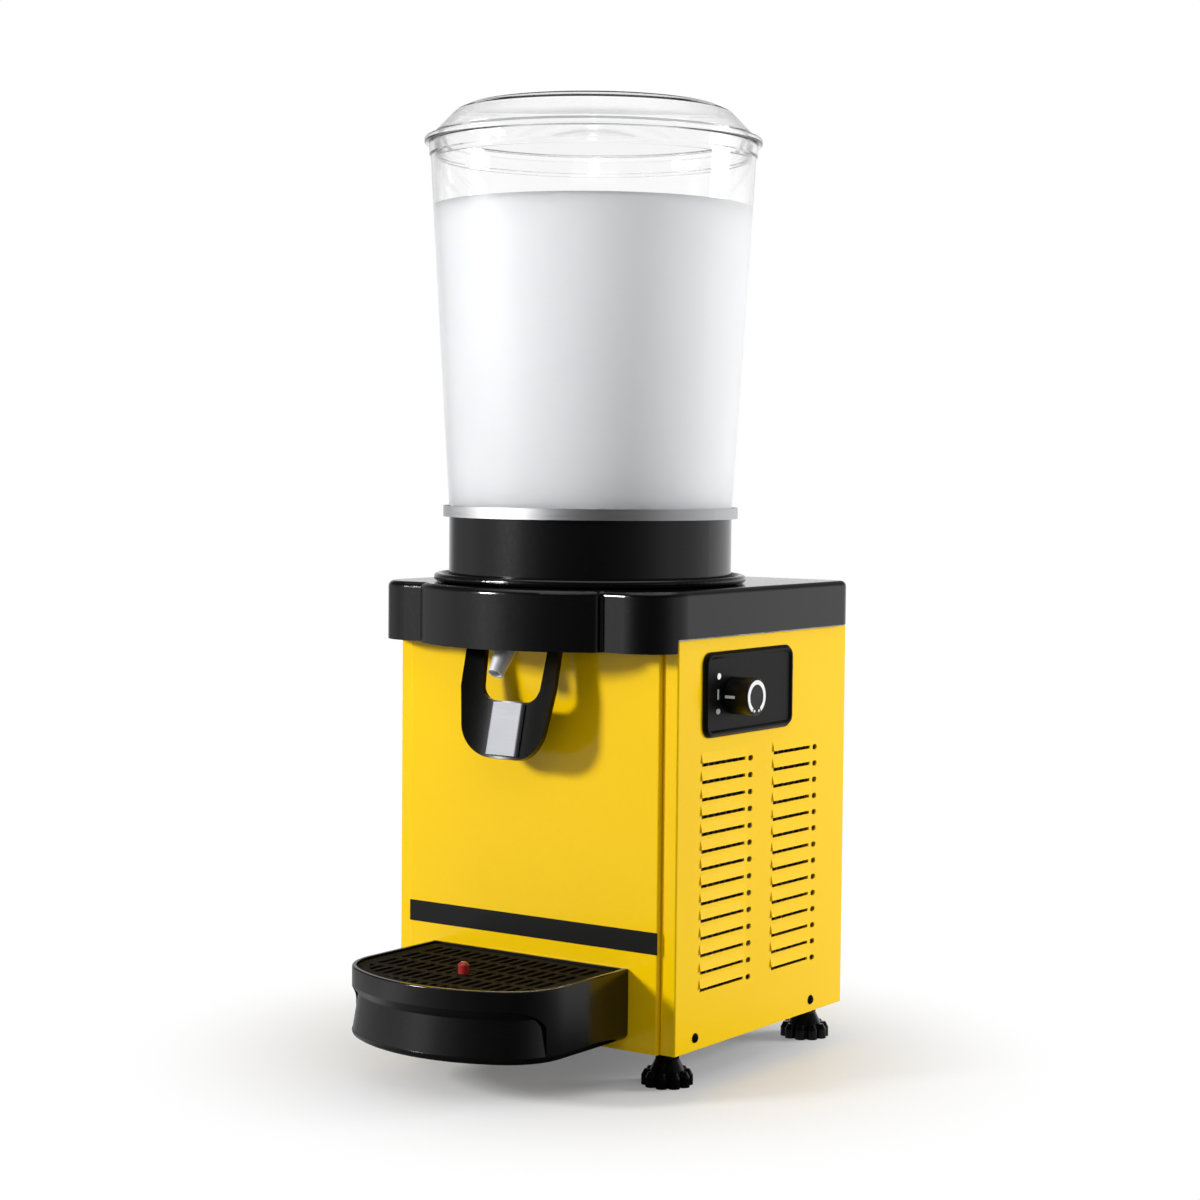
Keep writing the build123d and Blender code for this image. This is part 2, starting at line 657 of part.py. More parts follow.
def side_screws():
    """Pan-head screws through the side panels into the base plate."""
    screws = Part()
    for y in SIDE_SCREW_Y:
        z = BASE_Z + SIDE_SCREW_RAISE
        screw = rod_x(SCREW_R, HALF_W - SCREW_LENGTH, HALF_W, y, z)
        screw += rod_x(SCREW_HEAD_R, HALF_W, HALF_W + SCREW_HEAD, y, z)
        screws += [screw, mirrored(screw)]
    return screws


def back_screws():
    """Pan-head screws through the folded rear edges into the back panel."""
    screws = Part()
    for z in BACK_SCREW_Z:
        screw = rod_y(SCREW_R, BACK_Y - SCREW_LENGTH, BACK_Y, back_screw_x(), z)
        screw += rod_y(SCREW_HEAD_R, BACK_Y, BACK_Y + SCREW_HEAD, back_screw_x(), z)
        screws += [screw, mirrored(screw)]
    return screws


# Feet

def foot(x, y):
    """A moulded levelling foot with a lobed pad, on its threaded stud."""
    neck_z = BASE_Z - SEAT
    body = turned(
        [(0, 0), (FOOT_R - FOOT_LOBE_R, 0), (FOOT_R - FOOT_LOBE_R, FOOT_PAD),
         (FOOT_NECK_R, neck_z - FOOT_PAD), (FOOT_NECK_R, neck_z), (0, neck_z)]
    )
    ring = FOOT_R - FOOT_LOBE_R
    lobe = turned(
        [(0, 0), (FOOT_LOBE_R, 0), (FOOT_LOBE_R, FOOT_PAD), (FOOT_LOBE_R / 2, FOOT_LOBE_TOP),
         (0, FOOT_LOBE_TOP)]
    )
    body += [Pos(place.X, place.Y, 0) * lobe for place in ring_points(ring, FOOT_LOBES)]
    body += rod(STUD_R, neck_z - 1, FLOOR_Z + STUD_RISE)
    return Pos(x, y, 0) * body


def ring_points(radius, count):
    """Even places on a circle."""
    return [Vector(radius, 0).rotate(Axis.Z, 360 / count * step) for step in range(count)]


def foot_nuts():
    """Hexagon nuts on the base plate, one for each foot's stud."""
    nut = extrude(RegularPolygon(NUT_FLATS / 2, 6, major_radius=False), NUT_HEIGHT)
    nut -= rod(STUD_R + RUN, -1, NUT_HEIGHT + 1)
    return Part() + [Pos(x, y, FLOOR_Z) * nut for x, y in corners()]


# Top cover and bowl seat

def cover_outline(inset):
    """Plan of the cover, drawn in by the inset."""
    half = COVER_HALF - inset
    back = COVER_BACK_Y - inset
    front = COVER_FRONT_Y + inset
    bulge = BULGE_HALF - inset
    bow = (BULGE_HALF ** 2 + BULGE_BOW ** 2) / (2 * BULGE_BOW)
    centre = COVER_FRONT_Y - BULGE_SIDE - BULGE_BOW + bow
    corner = centre - sqrt((bow - inset) ** 2 - bulge ** 2)
    points = [(-bulge, corner), (-bulge, front), (-half, front), (-half, back)]
    points += [(-x, y) for x, y in reversed(points)]
    edges = [Line(a, b) for a, b in zip(points, points[1:])]
    edges.append(ThreePointArc(points[-1], (0, centre - bow + inset), points[0]))
    plan = make_face(edges)
    for far, radius in ((False, COVER_CORNER_R), (True, COVER_REAR_R)):
        outer = [v for v in plan.vertices() if abs(v.X) > half - 0.1 and (v.Y > 0) == far]
        plan = fillet(outer, radius - inset)
    tips = [v for v in plan.vertices() if v.Y < corner + 0.1]
    plan = fillet(tips, BULGE_CORNER_R - inset)
    roots = [v for v in plan.vertices() if abs(v.Y - front) < 0.1 and abs(v.X) < bulge + 0.1]
    return fillet(roots, BULGE_ROOT_R + inset)


def cover_shell():
    """The hollow moulding with a bowed bulge over the tap, before its bosses and bore."""
    low = COVER_Z - COVER_FRONT_DROP
    shell = Pos(0, 0, low) * extrude(cover_outline(0), COVER_TOP - low)
    shell = fillet(shell.edges().group_by(Axis.Z)[-1], COVER_EDGE_R)
    shell -= Pos(0, 0, low - 1) * extrude(cover_outline(COVER_WALL), COVER_UNDER - low + 1)
    drop_end = FACE_Y - COVER_DROP_GAP
    return shell - slab(-COVER_HALF, COVER_HALF, drop_end, COVER_BACK_Y, low - 1, COVER_Z)


def cover_band(z0, z1):
    """A block round the whole cover between two levels."""
    front = COVER_FRONT_Y - BULGE_SIDE - BULGE_BOW
    return slab(-COVER_HALF - 1, COVER_HALF + 1, front - 1, COVER_BACK_Y + 1, z0, z1)


def top_cover():
    """Top of the moulded cover, with the bowl's bore and four bosses on the deck."""
    top = cover_shell() & cover_band(COVER_UNDER, COVER_TOP + 1)
    boss_x = COVER_HALF - BOSS_INSET_X
    for y in (COVER_FRONT_Y + BOSS_NOSE, COVER_BACK_Y - BOSS_INSET_Y):
        top += [rod(BOSS_R, DECK_TOP, COVER_UNDER, x, y) for x in (-boss_x, boss_x)]
    return top - rod(COLLAR_R - COLLAR_WALL, COVER_UNDER - 1, COVER_TOP + 1, 0, BOWL_Y)


def cover_skirt():
    """Walls of the moulded cover, under its top."""
    return cover_shell() & cover_band(COVER_Z - 2 * COVER_FRONT_DROP, COVER_UNDER)


def gutter_ring():
    """Round gutter with a rolled lip that catches drips from the collar."""
    inner = COLLAR_R - COLLAR_WALL
    bead = GUTTER_R - GUTTER_BEAD_R
    flat = COLLAR_R + GUTTER_FLAT
    lip_z = COVER_TOP + GUTTER_RISE
    ring = turned(
        [(inner, COVER_TOP), (flat, COVER_TOP), (bead + SHEET, lip_z), (bead - SHEET, lip_z),
         (flat - SHEET, COVER_TOP + GUTTER_BASE), (inner, COVER_TOP + GUTTER_BASE)]
    )
    ring += Pos(0, 0, lip_z) * Torus(bead, GUTTER_BEAD_R)
    return Pos(0, BOWL_Y, 0) * ring


def collar():
    """Black sleeve round the cooled cup."""
    inner = COLLAR_R - COLLAR_WALL
    return turned(
        [(inner, COLLAR_Z), (COLLAR_R, COLLAR_Z), (COLLAR_R, COLLAR_TOP), (inner, COLLAR_TOP)],
        0, BOWL_Y,
    )


def cooling_cup():
    """Pressed steel cup with a flat seat, an upturned lip, a shaft neck and the tap outlet."""
    neck_bore = CUP_NECK_R - CUP_SHEET
    lip_top = COLLAR_TOP + CUP_LIP
    neck_top = CUP_FLOOR + CUP_NECK
    cup = turned(
        [(neck_bore, CUP_Z), (CUP_R, CUP_Z), (CUP_R, COLLAR_TOP), (CUP_LIP_R, COLLAR_TOP),
         (CUP_LIP_R, lip_top), (CUP_LIP_R - CUP_SHEET, lip_top),
         (CUP_LIP_R - CUP_SHEET, CUP_SEAT), (CUP_R - CUP_SHEET, CUP_SEAT),
         (CUP_R - CUP_SHEET, CUP_FLOOR), (CUP_NECK_R, CUP_FLOOR), (CUP_NECK_R, neck_top),
         (neck_bore, neck_top)],
        0, BOWL_Y,
    )
    return cup - rod(OUTLET_R, CUP_Z - 1, CUP_FLOOR + 1, 0, TAP_Y)


def evaporator_jacket():
    """Cold jacket round the cup's wall."""
    inner = CUP_R + RUN
    outer = inner + JACKET_WALL
    top = COLLAR_TOP - JACKET_MARGIN
    return turned(
        [(inner, JACKET_Z), (outer, JACKET_Z), (outer, top), (inner, top)], 0, BOWL_Y
    )


def cup_insulation():
    """Foam block between the deck and the cup, open at the front for the tap."""
    foam = rod(FOAM_R, DECK_TOP, CUP_Z, 0, BOWL_Y)
    foam -= rod(FOAM_BORE_R, DECK_TOP - 1, CUP_Z + 1, 0, BOWL_Y)
    front = FRONT_Y + EAR_DEPTH + SLIP
    return foam - slab(-FOAM_R, FOAM_R, BOWL_Y - FOAM_R - 1, front, DECK_TOP - 1, CUP_Z + 1)


def bowl_gasket():
    outer = BOWL_BASE_R
    inner = outer - GASKET_WIDTH
    return turned(
        [(inner, CUP_SEAT), (outer, CUP_SEAT), (outer, CUP_SEAT + GASKET),
         (inner, CUP_SEAT + GASKET)],
        0, BOWL_Y,
    )


# Bowl and lid

def bowl_radius(z):
    """Outer radius of the bowl's straight taper at a height."""
    return BOWL_BASE_R + (BOWL_TOP_R - BOWL_BASE_R) * (z - BOWL_Z) / BOWL_HEIGHT


def bowl():
    """Clear tapered bowl, open at both ends, with a foot and a rim bead."""
    bead_z = BOWL_TOP - BOWL_BEAD_HEIGHT
    foot_z = BOWL_Z + BOWL_FOOT_HEIGHT
    shell = turned(
        [(BOWL_BASE_R - BOWL_WALL, BOWL_Z), (BOWL_BASE_R + BOWL_FOOT, BOWL_Z),
         (BOWL_BASE_R + BOWL_FOOT, foot_z), (bowl_radius(foot_z), foot_z),
         (bowl_radius(bead_z), bead_z), (bowl_radius(bead_z) + BOWL_BEAD, bead_z + BOWL_BEAD),
         (BOWL_TOP_R + BOWL_BEAD, BOWL_TOP), (BOWL_TOP_R - BOWL_WALL, BOWL_TOP)],
        0, BOWL_Y,
    )
    return shell


def lid():
    """Clear lid: flat rim on the bowl, sloped shoulder, low crown and a plug skirt."""
    plug_z = LID_Z - LID_PLUG
    plug_r = bowl_radius(plug_z) - BOWL_WALL - SLIP
    rim_r = BOWL_TOP_R + LID_OVERHANG
    rim_top = LID_Z + LID_RIM
    top = rim_top + LID_RISE
    shoulder = rim_r - LID_SHOULDER
    plateau = shoulder - LID_SLOPE
    return turned(
        [(0, top + LID_CROWN), (plateau - LID_EDGE, top + LID_CROWN / 2),
         (plateau, top - LID_EDGE_DROP), (shoulder, rim_top), (rim_r, rim_top), (rim_r, LID_Z),
         (plug_r, LID_Z), (plug_r, plug_z), (plug_r - LID_WALL, plug_z),
         (plug_r - LID_WALL, LID_Z), (shoulder - 1.5 * LID_WALL, rim_top),
         (plateau - LID_WALL, top - LID_EDGE_DROP - LID_WALL),
         (plateau - LID_EDGE - LID_WALL / 2, top - LID_WALL), (0, top + LID_CROWN - LID_WALL)],
        0, BOWL_Y,
    )


# Stirrer drive

def drive_shaft():
    """Upright shaft from the gear motor through the cup's neck."""
    return rod(SHAFT_R, DECK_Z - GEARBOX_HEIGHT / 2, CUP_FLOOR + SHAFT_RISE, 0, BOWL_Y)


def shaft_bush():
    """Sealing bush in the cup's neck."""
    outer = CUP_NECK_R - CUP_SHEET - RUN
    bush = rod(outer, CUP_Z, CUP_FLOOR + CUP_NECK, 0, BOWL_Y)
    return bush - rod(SHAFT_R + RUN, CUP_Z - 1, CUP_FLOOR + CUP_NECK + 1, 0, BOWL_Y)


def stirrer():
    """Hub that caps the neck, with two leaning paddles."""
    z0 = CUP_FLOOR + STIRRER_LIFT
    top = z0 + STIRRER_HUB
    cone = STIRRER_CONE
    hub = turned(
        [(0, z0), (STIRRER_HUB_R, z0), (STIRRER_HUB_R, top - cone), (STIRRER_HUB_R - cone, top),
         (0, top)]
    )
    blade = Box(STIRRER_R, STIRRER_BLADE, STIRRER_BLADE_HEIGHT)
    paddle = Pos(STIRRER_R / 2, 0, z0 + STIRRER_HUB / 2) * Rot(STIRRER_LEAN, 0, 0) * blade
    hub += [paddle, Rot(0, 0, 180) * paddle]
    hub = hub & rod(STIRRER_R, z0, z0 + 2 * STIRRER_HUB)
    hub -= rod(CUP_NECK_R + SLIP, z0 - 1, CUP_FLOOR + CUP_NECK + SLIP)
    hub -= rod(SHAFT_R + RUN, z0 - 1, CUP_FLOOR + SHAFT_RISE + SEAT)
    return Pos(0, BOWL_Y, 0) * hub


def gear_motor():
    """Gearbox under the deck with its motor below, set back from the output bore."""
    half_x = GEARBOX_WIDTH / 2
    half_y = GEARBOX_DEPTH / 2
    y = BOWL_Y + MOTOR_SET_BACK
    low = DECK_Z - GEARBOX_HEIGHT
    box = slab(-half_x, half_x, y - half_y, y + half_y, low, DECK_Z)
    box = fillet(box.edges().filter_by(Axis.Z), GEARBOX_EDGE_R)
    box += rod(MOTOR_R, low - MOTOR_LENGTH, low, 0, y)
    return box - rod(SHAFT_R + RUN, (low + DECK_Z) / 2 - SEAT, DECK_Z + 1, 0, BOWL_Y)


# Tap

def tap_body():
    """Upright valve chamber under the cup with a duct forward to the spout."""
    duct_top = DUCT_Z + DUCT_HEIGHT
    duct_mid = DUCT_Z + DUCT_HEIGHT / 2
    body = rod(TAP_R, TAP_Z, TAP_TOP, 0, TAP_Y)
    body += rod(TAP_FLANGE_R, TAP_TOP - TAP_FLANGE, TAP_TOP, 0, TAP_Y)
    body += slab(-SPOUT_R, SPOUT_R, SPOUT_Y, TAP_Y, DUCT_Z, duct_top)
    body += rod(SPOUT_R, DUCT_Z, duct_top, 0, SPOUT_Y)
    body -= rod(TAP_BORE_R, TAP_Z + TAP_FLOOR, TAP_TOP + 1, 0, TAP_Y)
    body -= rod_y(SPOUT_BORE_R, SPOUT_Y, TAP_Y, 0, duct_mid)
    body -= rod(SPOUT_BORE_R, DUCT_Z - 1, duct_mid, 0, SPOUT_Y)
    return body - rod(STEM_R + RUN, TAP_Z - 1, TAP_TOP, 0, TAP_Y)


def tap_gasket():
    ring = rod(TAP_FLANGE_R, TAP_TOP, CUP_Z, 0, TAP_Y)
    return ring - rod(TAP_BORE_R, TAP_TOP - 1, CUP_Z + 1, 0, TAP_Y)


def nozzle_solid(radius, tip_radius, extra):
    """Upright neck, a round elbow and a taper that slants forward to the tip."""
    elbow_z = DUCT_Z - NOZZLE_NECK
    drop = Vector(0, -NOZZLE_REACH, -NOZZLE_DROP)
    slant = Plane(origin=(0, SPOUT_Y, elbow_z), x_dir=(1, 0, 0), z_dir=drop)
    length = drop.length + extra
    neck = rod(radius, elbow_z, DUCT_Z + extra, 0, SPOUT_Y)
    neck += Pos(0, SPOUT_Y, elbow_z) * Sphere(radius)
    return neck + slant * (Pos(0, 0, length / 2) * Cone(radius, tip_radius, length))


def nozzle():
    """Polished steel spout."""
    tube = nozzle_solid(SPOUT_R, NOZZLE_TIP_R, 0)
    return tube - nozzle_solid(SPOUT_BORE_R, NOZZLE_TIP_R - NOZZLE_WALL, 1)


def valve_plunger():
    """Lift valve: head on the cup's outlet, stem through the tap and a foot on the crossbar."""
    foot_z = STEM_FOOT_Z
    head_z = CUP_FLOOR + SEAT
    plunger = rod(STEM_R, foot_z, head_z + 1, 0, TAP_Y)
    plunger += rod(STEM_FOOT_R, foot_z, foot_z + STEM_FOOT, 0, TAP_Y)
    return plunger + rod(VALVE_HEAD_R, head_z, head_z + VALVE_HEAD, 0, TAP_Y)


def valve_spring():
    """Return spring between the tap and the plunger's foot."""
    z0 = STEM_FOOT_Z + STEM_FOOT + SEAT
    ring = rod(SPRING_R, z0, TAP_Z, 0, TAP_Y)
    return ring - rod(SPRING_R - SPRING_WALL, z0 - 1, TAP_Z + 1, 0, TAP_Y)


# Push lever

def lever_frame():
    """Lever plane: X across, Y up along the lever, Z forward. Zero is its front edge."""
    tilt = radians(LEVER_TILT)
    return Plane(
        origin=(0, PIVOT_Y - LEVER_FORWARD, PIVOT_Z - LEVER_DROP), x_dir=(1, 0, 0),
        z_dir=(0, -cos(tilt), sin(tilt)),
    )


def dish_cylinder(extra):
    """Round bar along the lever whose surface is the hollow front, grown by the extra."""
    radius = (LEVER_HALF ** 2 + LEVER_DISH ** 2) / (2 * LEVER_DISH)
    length = 2 * (LEVER_UP + LEVER_DOWN)
    bar = Rot(90, 0, 0) * Cylinder(radius + extra, length)
    return Pos(0, 0, radius - LEVER_DISH) * bar


def yoke_outline():
    """Flat view of the yoke with its open window."""
    side = [(LEVER_HALF, LEVER_UP), (LEVER_HALF, LEVER_WAIST), (LEVER_FOOT_HALF, -LEVER_DOWN)]
    outer = make_face(Polyline(*side, *[(-x, y) for x, y in reversed(side)], close=True))
    low = [v for v in outer.vertices() if v.Y < 1 - LEVER_DOWN]
    outer = fillet(low, LEVER_CORNER_R)
    gap = [(WINDOW_HALF, LEVER_UP + 1), (WINDOW_FOOT_HALF, -WINDOW_DOWN)]
    window = make_face(Polyline(*gap, *[(-x, y) for x, y in reversed(gap)], close=True))
    low = [v for v in window.vertices() if v.Y < 1 - WINDOW_DOWN]
    return outer - fillet(low, WINDOW_CORNER_R)


def lever_hub():
    """Right-hand hub with the pivot boss and the tail to the crossbar."""
    boss = Pos(PIVOT_Y, PIVOT_Z) * Circle(HUB_R)
    tail = Pos(TAP_Y, CROSSBAR_Z) * Circle(TAIL_R)
    side = make_hull(boss.edges() + tail.edges())
    plane = Plane(origin=(HUB_INNER, 0, 0), x_dir=(0, 1, 0), z_dir=(1, 0, 0))
    return extrude(plane * side, HUB_OUTER - HUB_INNER)


def lever():
    """Hollow-fronted yoke that a glass pushes back."""
    depth = LEVER_DISH + 2 * LEVER_WALL
    slab_part = Pos(0, 0, -depth) * extrude(yoke_outline(), depth + 1)
    shell = dish_cylinder(LEVER_WALL) - dish_cylinder(0)
    yoke = lever_frame() * (slab_part & shell)
    hub = lever_hub()
    yoke += [hub, mirrored(hub)]
    yoke -= rod_x(PIVOT_R + RUN, -LEVER_HALF - 1, LEVER_HALF + 1, PIVOT_Y, PIVOT_Z)
    return yoke - rod_x(CROSSBAR_R + RUN, -LEVER_HALF - 1, LEVER_HALF + 1, TAP_Y, CROSSBAR_Z)


def lever_plate():
    """Brushed steel push plate on the lever's web."""
    half = PLATE_WIDTH / 2
    block = slab(-half, half, PLATE_BOTTOM, PLATE_TOP, -LEVER_DISH - 1, -PLATE_SINK)
    block = fillet(block.edges().filter_by(Axis.Y).group_by(Axis.Z)[-1], PLATE_EDGE_R)
    return lever_frame() * (block & dish_cylinder(-RUN))


def lever_crossbar():
    return rod_x(CROSSBAR_R, -HUB_OUTER, HUB_OUTER, TAP_Y, CROSSBAR_Z)


def tap_bracket():
    """Bracket on the deck with two ears that carry the lever's pins."""
    z1 = PIVOT_Z + HUB_R
    foot_y = FRONT_Y + EAR_DEPTH
    sweep_z = CROSSBAR_Z + CROSSBAR_R + HUB_R
    ear = [
        (foot_y, DECK_TOP), (FRONT_Y, DECK_TOP), (FRONT_Y - FRONT_PROUD, sweep_z),
        (PIVOT_Y + HUB_R, sweep_z), (PIVOT_Y + HUB_R, PIVOT_Z - HUB_R),
        (PIVOT_Y - HUB_R, PIVOT_Z - HUB_R), (PIVOT_Y - HUB_R, z1), (foot_y, z1),
    ]
    plane = Plane(origin=(EAR_X - EAR_SHEET, 0, 0), x_dir=(0, 1, 0), z_dir=(1, 0, 0))
    side = extrude(plane * make_face(Polyline(*ear, close=True)), EAR_SHEET)
    side -= rod_x(PIVOT_R + RUN, 0, HUB_OUTER, PIVOT_Y, PIVOT_Z)
    bracket = slab(-EAR_X, EAR_X, FRONT_Y, foot_y, DECK_TOP, DECK_TOP + EAR_SHEET)
    return bracket + [side, mirrored(side)]


def lever_pins():
    """Two headed stub pins, one through each ear and hub."""
    head = HUB_OUTER + EAR_GAP
    pin = rod_x(PIVOT_R, EAR_X - EAR_SHEET, head, PIVOT_Y, PIVOT_Z)
    pin += rod_x(PIVOT_R + PIN_HEAD, head, head + EAR_SHEET, PIVOT_Y, PIVOT_Z)
    return Part() + [pin, mirrored(pin)]


# Drip tray

def tray_outline(inset):
    """Plan of the tray: straight back and sides, round corners and a bowed front."""
    half = TRAY_HALF - inset
    back = TRAY_BACK_Y - inset
    bow = TRAY_BOW_R - inset
    corner = TRAY_CORNER_R - inset
    bow_y = TRAY_FRONT_Y + TRAY_BOW_R
    corner_x = half - corner
    corner_y = bow_y - sqrt((bow - corner) ** 2 - corner_x ** 2)
    toward = Vector(corner_x, corner_y - bow_y).normalized()
    meet = Vector(0, bow_y) + toward * bow
    middle = Vector(corner_x, corner_y) + (toward + Vector(1, 0)).normalized() * corner
    flip = lambda v: Vector(-v.X, v.Y)
    edges = [
        Line((-half, back), (half, back)),
        Line((half, back), (half, corner_y)),
        ThreePointArc((half, corner_y), middle, meet),
        ThreePointArc(meet, (0, bow_y - bow), flip(meet)),
        ThreePointArc(flip(meet), flip(middle), (-half, corner_y)),
        Line((-half, corner_y), (-half, back)),
    ]
    return make_face(edges)


def tray_block(inset, z0, z1):
    """The tray's plan raised between two levels."""
    return Pos(0, 0, z0) * extrude(tray_outline(inset), z1 - z0)


def finger_grip():
    """Recess that slopes in under the front band and runs out again towards the tray's foot."""
    top = TRAY_TOP - TRAY_BAND
    low = TRAY_BOTTOM - 2 * TRAY_GRIP_R
    foot = TRAY_BOTTOM + TRAY_FOOT_R
    knee = top - TRAY_GRIP_SLOPE
    slope = loft([Pos(0, 0, knee) * tray_outline(TRAY_GRIP), Pos(0, 0, top) * tray_outline(0)])
    wall = loft([
        Pos(0, 0, foot) * tray_outline(TRAY_GRIP_FOOT), Pos(0, 0, knee) * tray_outline(TRAY_GRIP)
    ])
    skin = tray_block(-1, foot, top) - wall - slope
    field = Pos(0, (low + top) / 2) * RectangleRounded(2 * TRAY_GRIP_HALF, top - low, TRAY_GRIP_R)
    start = TRAY_FRONT_Y + TRAY_GRIP_DEPTH
    plane = Plane(origin=(0, start, 0), x_dir=(1, 0, 0), z_dir=(0, -1, 0))
    return skin & extrude(plane * field, 2 * TRAY_GRIP_DEPTH)


def drip_tray():
    """Deep tray with a grid seat, a finger grip and two blind channels for the tongues."""
    tray = tray_block(0, TRAY_BOTTOM, TRAY_TOP)
    tray = fillet(tray.edges().group_by(Axis.Z)[0], TRAY_FOOT_R)
    tray = fillet(tray.edges().group_by(Axis.Z)[-1], TRAY_RIM_R)
    tray -= finger_grip()
    tray -= tray_block(TRAY_WALL, TRAY_TOP - TRAY_LEDGE, TRAY_TOP + 1)
    tray -= tray_block(TRAY_BASIN, TRAY_FLOOR_Z, TRAY_TOP)
    tray -= [tongue(side, SLIP) for side in (-1, 1)]
    return tray


def tongue(side, grow):
    """One flat tongue from the base plate forward under the tray, or its channel."""
    half = TONGUE_WIDTH / 2 + grow
    thick = TONGUE_THICK / 2 + min(grow, SEAT)
    x = side * TONGUE_SPREAD / 2
    tip = TRAY_BACK_Y - TONGUE_REACH - grow
    return slab(x - half, x + half, tip, base_front_y(), TONGUE_Z - thick, TONGUE_Z + thick)


def tray_tongues():
    return Part() + [tongue(side, 0) for side in (-1, 1)]


def drip_grid():
    """Slotted grid that drops into the tray's seat."""
    plan = tray_outline(TRAY_WALL + SLIP)
    field = tray_outline(TRAY_WALL + GRID_MARGIN)
    count = int(TRAY_HALF / GRID_PITCH)
    slot = RectangleRounded(GRID_SLOT, GRID_SLOT_LENGTH, GRID_SLOT / 2 - 0.1)
    first = TRAY_BACK_Y - GRID_MARGIN - TRAY_WALL - GRID_SLOT_LENGTH / 2
    slots = [
        Pos(column * GRID_PITCH, first - row * GRID_ROW) * slot
        for column in range(-count, count + 1) for row in range(GRID_ROWS)
    ]
    plan -= Sketch() + slots & field
    plan += Pos(0, FLOAT_Y) * Circle(FLOAT_STEM_R + GRID_SLOT)
    plan -= Pos(0, FLOAT_Y) * Circle(FLOAT_STEM_R + SLIP)
    return Pos(0, 0, GRID_Z) * extrude(plan, GRID_THICK)


def float_gauge():
    """Red float whose tip rises through the grid as the tray fills."""
    z0 = TRAY_FLOOR_Z + SEAT
    tip = GRID_Z + GRID_THICK + FLOAT_SHOW
    stem = FLOAT_STEM_R
    return turned(
        [(0, z0), (FLOAT_R, z0), (FLOAT_R, z0 + FLOAT_HEIGHT), (stem, z0 + FLOAT_HEIGHT),
         (stem, tip - stem / 2), (stem / 2, tip), (0, tip)],
        0, FLOAT_Y,
    )


# Control panel

def panel_outline(x, inset, corner):
    """The panel's rounded outline on the right side, drawn in by the inset."""
    y0, y1 = PANEL_Y
    z0, z1 = PANEL_Z
    plane = Plane(origin=(x, (y0 + y1) / 2, (z0 + z1) / 2), x_dir=(0, 1, 0), z_dir=(1, 0, 0))
    return plane * RectangleRounded(y1 - y0 - 2 * inset, z1 - z0 - 2 * inset, corner)


def panel_block(x0, x1, inset, corner):
    return extrude(panel_outline(x0, inset, corner), x1 - x0)


def control_panel():
    """Black moulded panel: bevelled frame, sloped-in field and a spigot through the side panel."""
    face = HALF_W + PANEL_PLATE
    plate = panel_block(HALF_W, face, 0, PANEL_CORNER_R)
    plate = chamfer(plate.edges().group_by(Axis.X)[-1], PANEL_BEVEL)
    field_r = PANEL_CORNER_R - PANEL_FRAME
    plate -= loft([
        panel_outline(PANEL_FACE_X, PANEL_FRAME, field_r),
        panel_outline(face, PANEL_FRAME - PANEL_SLOPE, field_r + PANEL_SLOPE),
    ])
    plate += panel_block(HALF_W - PANEL_SPIGOT, HALF_W, PANEL_SPIGOT_INSET, PANEL_BEVEL)
    return plate - rod_x(SPINDLE_R + RUN, HALF_W - PANEL_SPIGOT - 1, face, KNOB_Y, KNOB_Z)


def mode_knob():
    """Round selector knob with a rounded rim and a blind bore for the spindle."""
    end = KNOB_X + KNOB_LENGTH
    knob = rod_x(KNOB_R, KNOB_X, end, KNOB_Y, KNOB_Z)
    knob = fillet(knob.edges().group_by(Axis.X)[-1], KNOB_EDGE_R)
    return knob - rod_x(SPINDLE_R + RUN, KNOB_X - 1, end - KNOB_SHELL, KNOB_Y, KNOB_Z)


def switch_spindle():
    end = KNOB_X + KNOB_LENGTH - KNOB_SHELL - SEAT
    return rod_x(SPINDLE_R, SWITCH_X - SWITCH_DEPTH / 2, end, KNOB_Y, KNOB_Z)


def rotary_switch():
    """Switch body on the back of the panel."""
    half = SWITCH_SIDE / 2
    body = slab(
        SWITCH_X - SWITCH_DEPTH, SWITCH_X, KNOB_Y - half, KNOB_Y + half, KNOB_Z - half, KNOB_Z + half
    )
    bore = SWITCH_X - SWITCH_DEPTH / 2 - SEAT
    return body - rod_x(SPINDLE_R + RUN, bore, SWITCH_X + 1, KNOB_Y, KNOB_Z)


# Cooling set

def compressor():
    """Hermetic compressor with a weld band and a foot plate."""
    low = COMPRESSOR_Z + COMPRESSOR_FOOT
    top = low + COMPRESSOR_HEIGHT
    band = low + COMPRESSOR_BAND
    wall = COMPRESSOR_R - BAND_STEP
    shell = turned(
        [(0, low), (wall - SHELL_EDGE, low), (wall, low + SHELL_EDGE), (wall, band),
         (COMPRESSOR_R, band), (COMPRESSOR_R, band + BAND_HEIGHT), (wall, band + BAND_HEIGHT),
         (wall, top - DOME_RISE), (wall - DOME_INSET, top - DOME_RISE + DOME_SHOULDER),
         (DOME_FLAT_R, top), (0, top)]
    )
    half_x = COMPRESSOR_FOOT_WIDTH / 2
    half_y = COMPRESSOR_FOOT_DEPTH / 2
    shell += slab(-half_x, half_x, -half_y, half_y, COMPRESSOR_Z, low)
    return Pos(COMPRESSOR_X, COMPRESSOR_Y, 0) * shell


def compressor_mounts():
    """Rubber feet under the compressor."""
    dx = COMPRESSOR_FOOT_WIDTH / 2 - MOUNT_INSET
    dy = COMPRESSOR_FOOT_DEPTH / 2 - MOUNT_INSET
    mounts = [
        rod(MOUNT_R, FLOOR_Z, COMPRESSOR_Z, COMPRESSOR_X + sx * dx, COMPRESSOR_Y + sy * dy)
        for sx in (-1, 1) for sy in (-1, 1)
    ]
    return Part() + mounts


